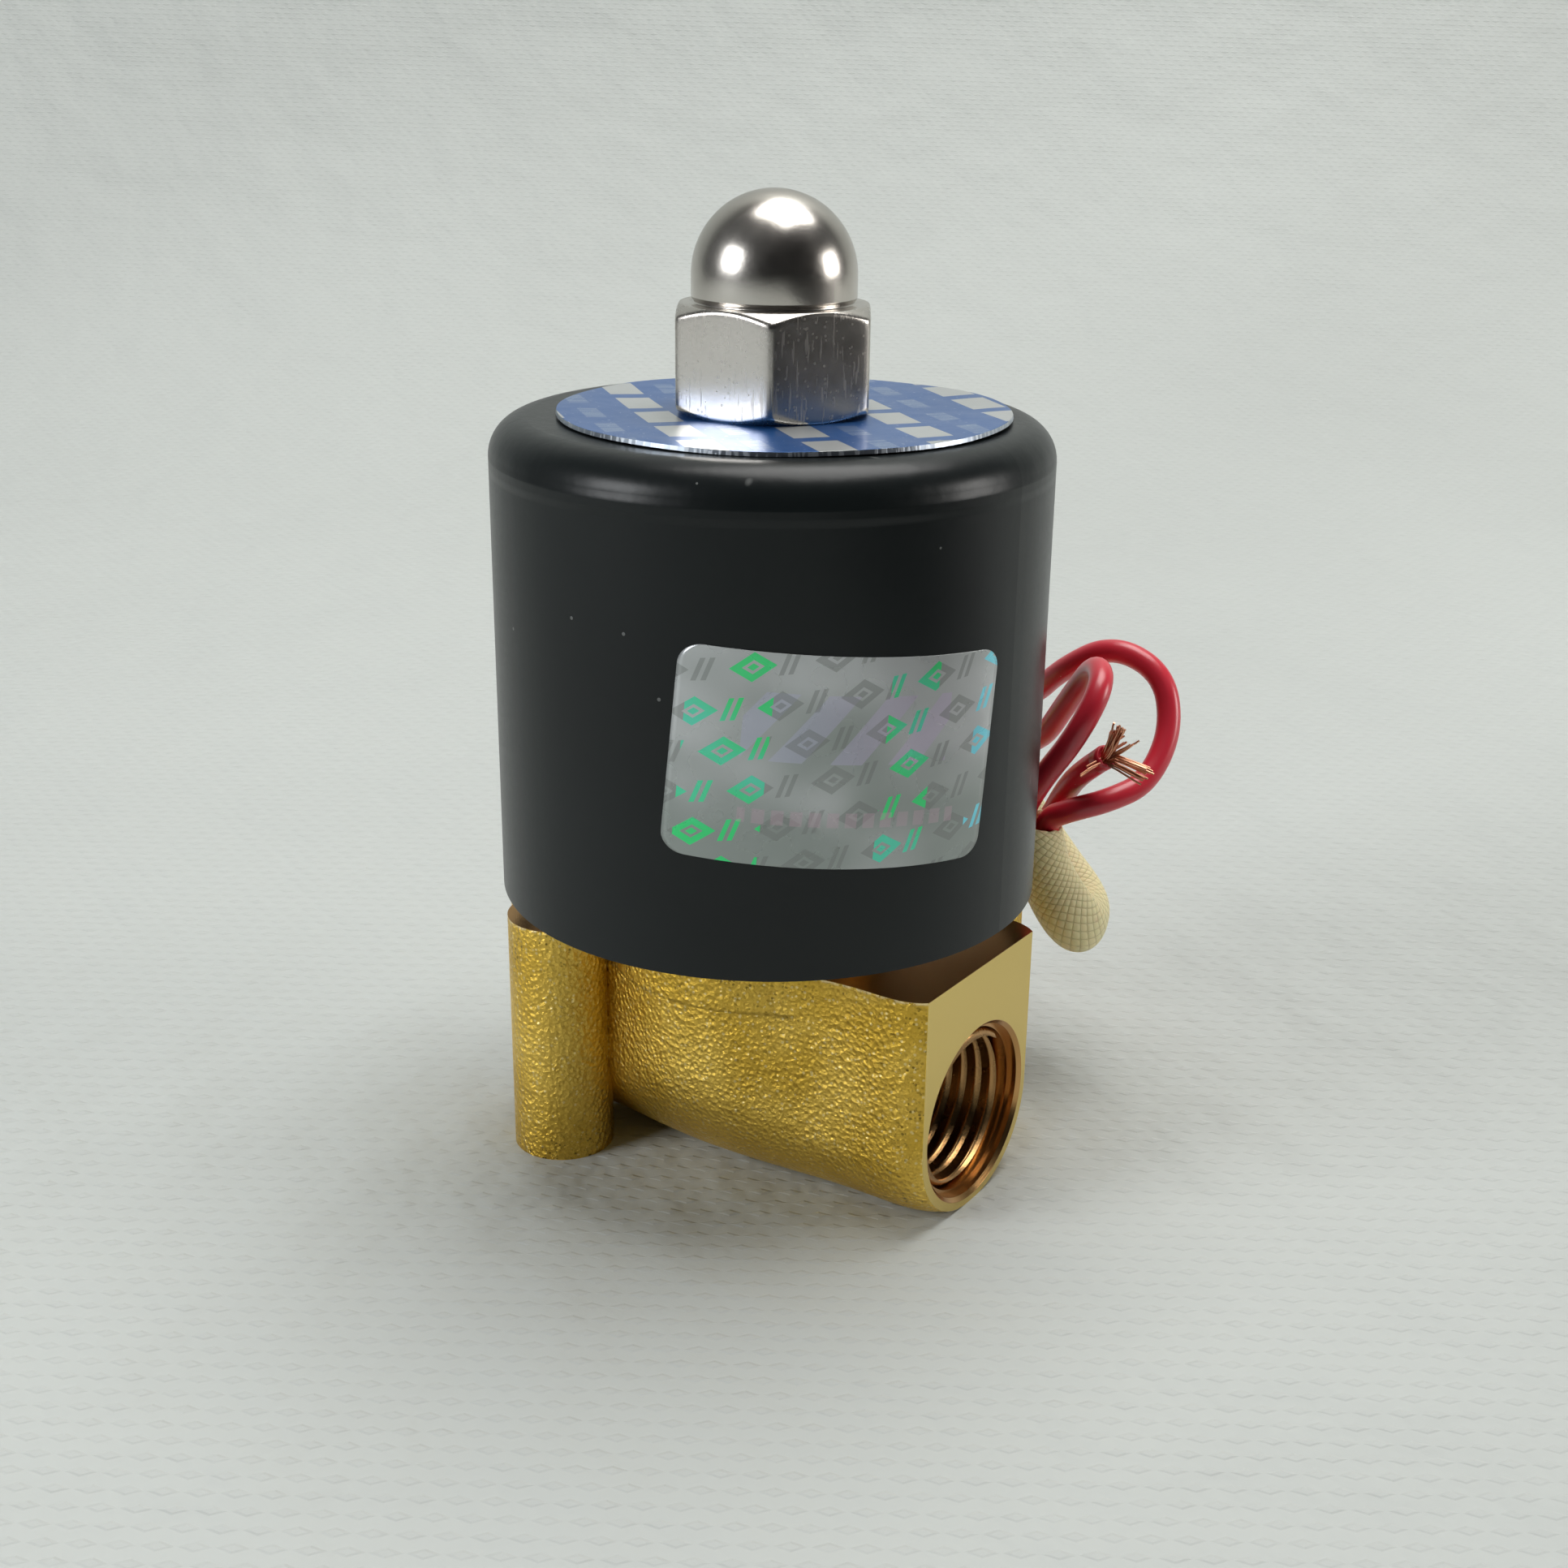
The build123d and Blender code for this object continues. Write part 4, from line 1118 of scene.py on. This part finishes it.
def plate_sheet(face_material, edge_material):
    """The round name plate, pressed flat under the nut and a little lifted and wavy towards its edge."""
    centre = (plate_low + plate_high) / 2
    radius = (plate_high.x - plate_low.x) / 2
    thickness = plate_high.z - plate_low.z
    hole = 5.0 * mm
    around = 160
    shares = [0.0, 0.15, 0.3, 0.45, 0.6, 0.75, 0.88, 0.96, 0.99, 1.0]
    points = []
    for face in (1, 0):
        for share in shares:
            reach = hole + (radius - hole) * share
            if face == 1 and share == 1.0:
                reach -= 0.05 * mm
            for step in range(around):
                angle = 2 * math.pi * step / around
                lifted = 0.16 + 0.09 * math.sin(2 * angle + 0.6) + 0.03 * math.sin(7 * angle)
                lift = ease(0.45, 1.0, share) * lifted * mm
                burr = 0.0
                if share == 1.0:
                    burr = 0.02 * mm * noise.noise(Vector((40 * math.cos(angle), 40 * math.sin(angle), 0)))
                x = centre.x + (reach + burr) * math.cos(angle)
                y = centre.y + (reach + burr) * math.sin(angle)
                points.append((x, y, plate_low.z + thickness * face + lift))
    rows = len(shares)
    faces = []
    for row in range(rows - 1):
        for step in range(around):
            after = (step + 1) % around
            low = row * around
            high = low + around
            upper = (low + step, high + step, high + after, low + after)
            faces.append(upper)
            lower = (upper[0], upper[3], upper[2], upper[1])
            faces.append(tuple(rows * around + corner for corner in lower))
    sides = len(faces)
    for row, outwards in ((rows - 1, True), (0, False)):
        for step in range(around):
            after = (step + 1) % around
            top = row * around
            low = (rows + row) * around
            wall = (low + step, low + after, top + after, top + step)
            faces.append(wall if outwards else wall[::-1])
    plate = mesh_object("name_plate_printed", points, faces, [face_material, edge_material])
    for face in plate.data.polygons[sides:]:
        face.material_index = 1
        face.use_smooth = False
    return plate


def label_patch(material):
    """The foil label: a rounded rectangle bent round the can, a little askew."""
    width, height, corner = 23.0, 15.2, 1.5
    angle, middle, tilt = math.radians(-41), 39.3, math.radians(-5)
    columns, rows = 60, 48
    points = []
    coordinates = []
    for lift in (0.09 * mm, 0.0):
        for row in range(rows + 1):
            q = height * (0.5 - 0.5 * math.cos(math.pi * row / rows)) - height / 2
            past = max(abs(q) - (height / 2 - corner), 0.0)
            half = width / 2 - corner + math.sqrt(max(corner ** 2 - past ** 2, 0.0))
            for column in range(columns + 1):
                p = half * (2 * column / columns - 1)
                y = (p * math.cos(tilt) - q * math.sin(tilt)) * mm
                z = (middle + q * math.cos(tilt) + p * math.sin(tilt)) * mm
                turn = angle + math.asin(y / can_radius)
                reach = can_radius + lift
                points.append((reach * math.cos(turn), reach * math.sin(turn), z))
                coordinates.append((p / width + 0.5, q / height + 0.5))
    faces = []
    line = columns + 1
    under = line * (rows + 1)
    for row in range(rows):
        for column in range(columns):
            first = row * line + column
            quad = (first, first + 1, first + line + 1, first + line)
            faces.append(quad)
            faces.append(tuple(under + corner_index for corner_index in quad[::-1]))
    rim = [column for column in range(line)]
    rim += [row * line + columns for row in range(1, rows + 1)]
    rim += [rows * line + column for column in range(columns - 1, -1, -1)]
    rim += [row * line for row in range(rows - 1, 0, -1)]
    for here, after in zip(rim, rim[1:] + rim[:1]):
        faces.append((here, under + here, under + after, after))
    label = mesh_object("foil_label", points, faces, [material])
    layer = label.data.uv_layers.new(name="print")
    for loop in label.data.loops:
        layer.data[loop.index].uv = coordinates[loop.vertex_index]
    return label


# ---------------------------------------------------------------- floor, backdrop and light


# Across, back and up as seen from the camera's side of the table.
heading = Matrix.Rotation(math.radians(34.48), 3, "Z")


def studio():
    """A pale cloth that rises softly behind, and a dark table top beside it to the near right."""
    half = 0.9
    profile = [(-0.7, 0.0), (-0.2, 0.0), (0.1, 0.0), (0.22, 0.0)]
    bend = 0.16
    for step in range(1, 17):
        turn = math.pi / 2 * step / 16
        profile.append((0.22 + bend * math.sin(turn), bend * (1 - math.cos(turn))))
    profile.append((0.22 + bend, 1.1))
    points = []
    columns = 24
    for back, up in profile:
        for column in range(columns + 1):
            across = half * (2 * column / columns - 1)
            points.append(heading @ Vector((across, back, up)))
    faces = []
    for row in range(len(profile) - 1):
        for column in range(columns):
            first = row * (columns + 1) + column
            faces.append((first, first + 1, first + columns + 2, first + columns + 1))
    cloth = pale_cloth("pale_cloth", rgb(0.52, 0.545, 0.525), 620.0)
    floor = mesh_object("floor_cloth", points, faces, [cloth])
    wood = plain_solid("dark_table", rgb(0.03, 0.03, 0.03), 0.6)
    near, far, lift = -0.6, 0.0, 0.001
    left, right = 0.12, 0.8
    corners = [(left, near, lift), (right, near, lift), (right, far, lift), (left, far, lift)]
    corners = [heading @ Vector(corner) for corner in corners]
    table = mesh_object("dark_table", corners, [(0, 1, 2, 3)], [wood])


def area_light(name, place, aim, size, power, colour):
    data = bpy.data.lights.new(name, "AREA")
    data.shape = "RECTANGLE"
    data.size = size
    data.size_y = size
    data.energy = power
    data.color = colour
    lamp = link_object(name, data)
    direction = Vector(aim) - Vector(place)
    lamp.matrix_world = Matrix.Translation(place) @ direction.to_track_quat("-Z", "Y").to_matrix().to_4x4()
    return lamp


def light_scene():
    """A soft light overhead, a window to the left, a weak light from the right, and a room dark in front."""
    aim = (0, 0, 0.035)
    area_light("overhead", heading @ Vector((0.10, 0.12, 0.70)), aim, 0.50, 5.0, (1.0, 0.99, 0.97))
    area_light("window", heading @ Vector((-0.60, -0.30, 0.30)), aim, 0.28, 2.6, (0.96, 0.98, 1.0))
    area_light("right_fill", heading @ Vector((0.66, -0.04, 0.20)), aim, 0.24, 1.5, (1.0, 0.98, 0.95))
    world = bpy.data.worlds.new("room")
    world.use_nodes = True
    tree = world.node_tree
    background = tree.nodes["Background"]
    background.inputs["Strength"].default_value = 0.12
    around = add(tree, "ShaderNodeTexCoord").outputs["Generated"]
    towards = heading @ Vector((0.45, -0.85, -0.1))
    facing = {0: around, 1: towards}
    facing = add(tree, "ShaderNodeVectorMath", facing, operation="DOT_PRODUCT").outputs["Value"]
    dark = ramp(tree, facing, -0.1, 0.75)
    room = blend_colour(tree, dark, rgb(0.84, 0.87, 0.88), rgb(0.10, 0.10, 0.10))
    tree.links.new(room, background.inputs["Color"])
    bpy.context.scene.world = world
    bpy.context.scene.view_settings.view_transform = "Standard"


# ---------------------------------------------------------------- leads first

copper = bare_copper()
red = silicone()
strands = strand_tree()
leads = {}
for name, side, route in (("lead_a", -1, small_loop_route), ("lead_b", 1, large_loop_route)):
    points = lead_points(side, route)
    lead = smooth_curve(name + "_silicone", points, lead_diameter)
    lead.data.materials.append(red)
    line = followed(points)
    leads[name] = (lead, line[-1], (line[-1] - line[-2]).normalized())

sleeve = sleeve_shell(glass_weave(lead_place(27.6, 8.6, 15.4)))
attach(sleeve, "coil_unit")
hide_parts("lead_sleeve")

right, up = picture_right, picture_up
tufts_near = [
    (26, 3.0, up * 1.5 - right * 0.2, 1.2),
    (16, 2.8, right * 2.4 - up * 2.0, 1.1),
    (8, 2.4, up * 0.8 + right * 0.9, 2.2),
    (4, 2.2, -right * 2.6 - up * 1.6, 1.2),
]
tufts_far = [(26, 3.4, Vector((0, 0, -0.6)), 1.0)]
for name, tufts in (("lead_a", tufts_far), ("lead_b", tufts_near)):
    lead, end, direction = leads[name]
    wires = stripped_end(name + "_wires", strands, end, direction, tufts, copper)
    collar = stripped_collar(name + "_torn_end", end, direction, red)
    for piece in (lead, wires, collar):
        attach(piece, "coil_unit")
    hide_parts(name)
    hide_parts(name + "_strands")

# ---------------------------------------------------------------- the other pieces

nut = nut_shell(nickel())
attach(nut, "nut")
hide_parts("cap_nut")

plate = plate_sheet(printed_plate(), sheared_edge())
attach(plate, "coil_unit")
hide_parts("name_plate")

label = label_patch(foil_label())
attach(label, "coil_unit")
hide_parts("hologram_sticker")

thread_metal = turned_metal("cut_thread", rgb(0.56, 0.32, 0.13), 0.2, 14000.0)
threads = thread_tree()
thread_pitch = 1.337 * mm
thread_turns = 6.6
for name, side, face in (("port_outlet", 1, body_high.x), ("port_inlet", -1, body_low.x)):
    start = face - side * (1.0 * mm + thread_turns * thread_pitch)
    thread = grow(name + "_thread", threads, Turns=thread_turns, Pitch=thread_pitch,
                  Root_radius=port_wall - 0.38 * mm, Depth=0.55 * mm, Turn=(0, side * math.pi / 2, 0),
                  Place=(start, 0, port_height), Material=thread_metal)
    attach(thread, "valve_base")

finishes = {
    "forged_brass": blasted_brass(),
    "turned_brass": turned_metal("turned_brass", rgb(0.76, 0.54, 0.18), 0.24),
    "stainless": turned_metal("turned_stainless", rgb(0.60, 0.60, 0.61), 0.26, 9000.0),
    "black_can": can_paint(),
    "zinc_plate": turned_metal("zinc_plate", rgb(0.58, 0.60, 0.63), 0.34, 3000.0),
    "copper": copper,
    "nylon": plain_solid("moulded_nylon", rgb(0.62, 0.60, 0.52), 0.5),
    "winding_tape": plain_solid("winding_tape", rgb(0.72, 0.50, 0.08), 0.3, 500.0),
    "black_resin": plain_solid("cast_resin", rgb(0.02, 0.02, 0.022), 0.4, 800.0, 0.05),
    "seal_rubber": plain_solid("seal_rubber", rgb(0.022, 0.022, 0.022), 0.6, 2000.0, 0.03),
}
own_finish = {
    "fixed_core": turned_metal("core_and_stud", rgb(0.60, 0.60, 0.61), 0.24, 9000.0, stud_pitch, can_top),
    "copper_winding": wound_copper(),
}
slots = {part["node"]: part["material_slot"] for part in frame["record"]["subparts"]}
for node, obj in frame["nodes"].items():
    material = own_finish.get(node) or finishes.get(slots[node])
    if material is None:
        continue
    obj.data.materials.clear()
    obj.data.materials.append(material)

studio()
light_scene()
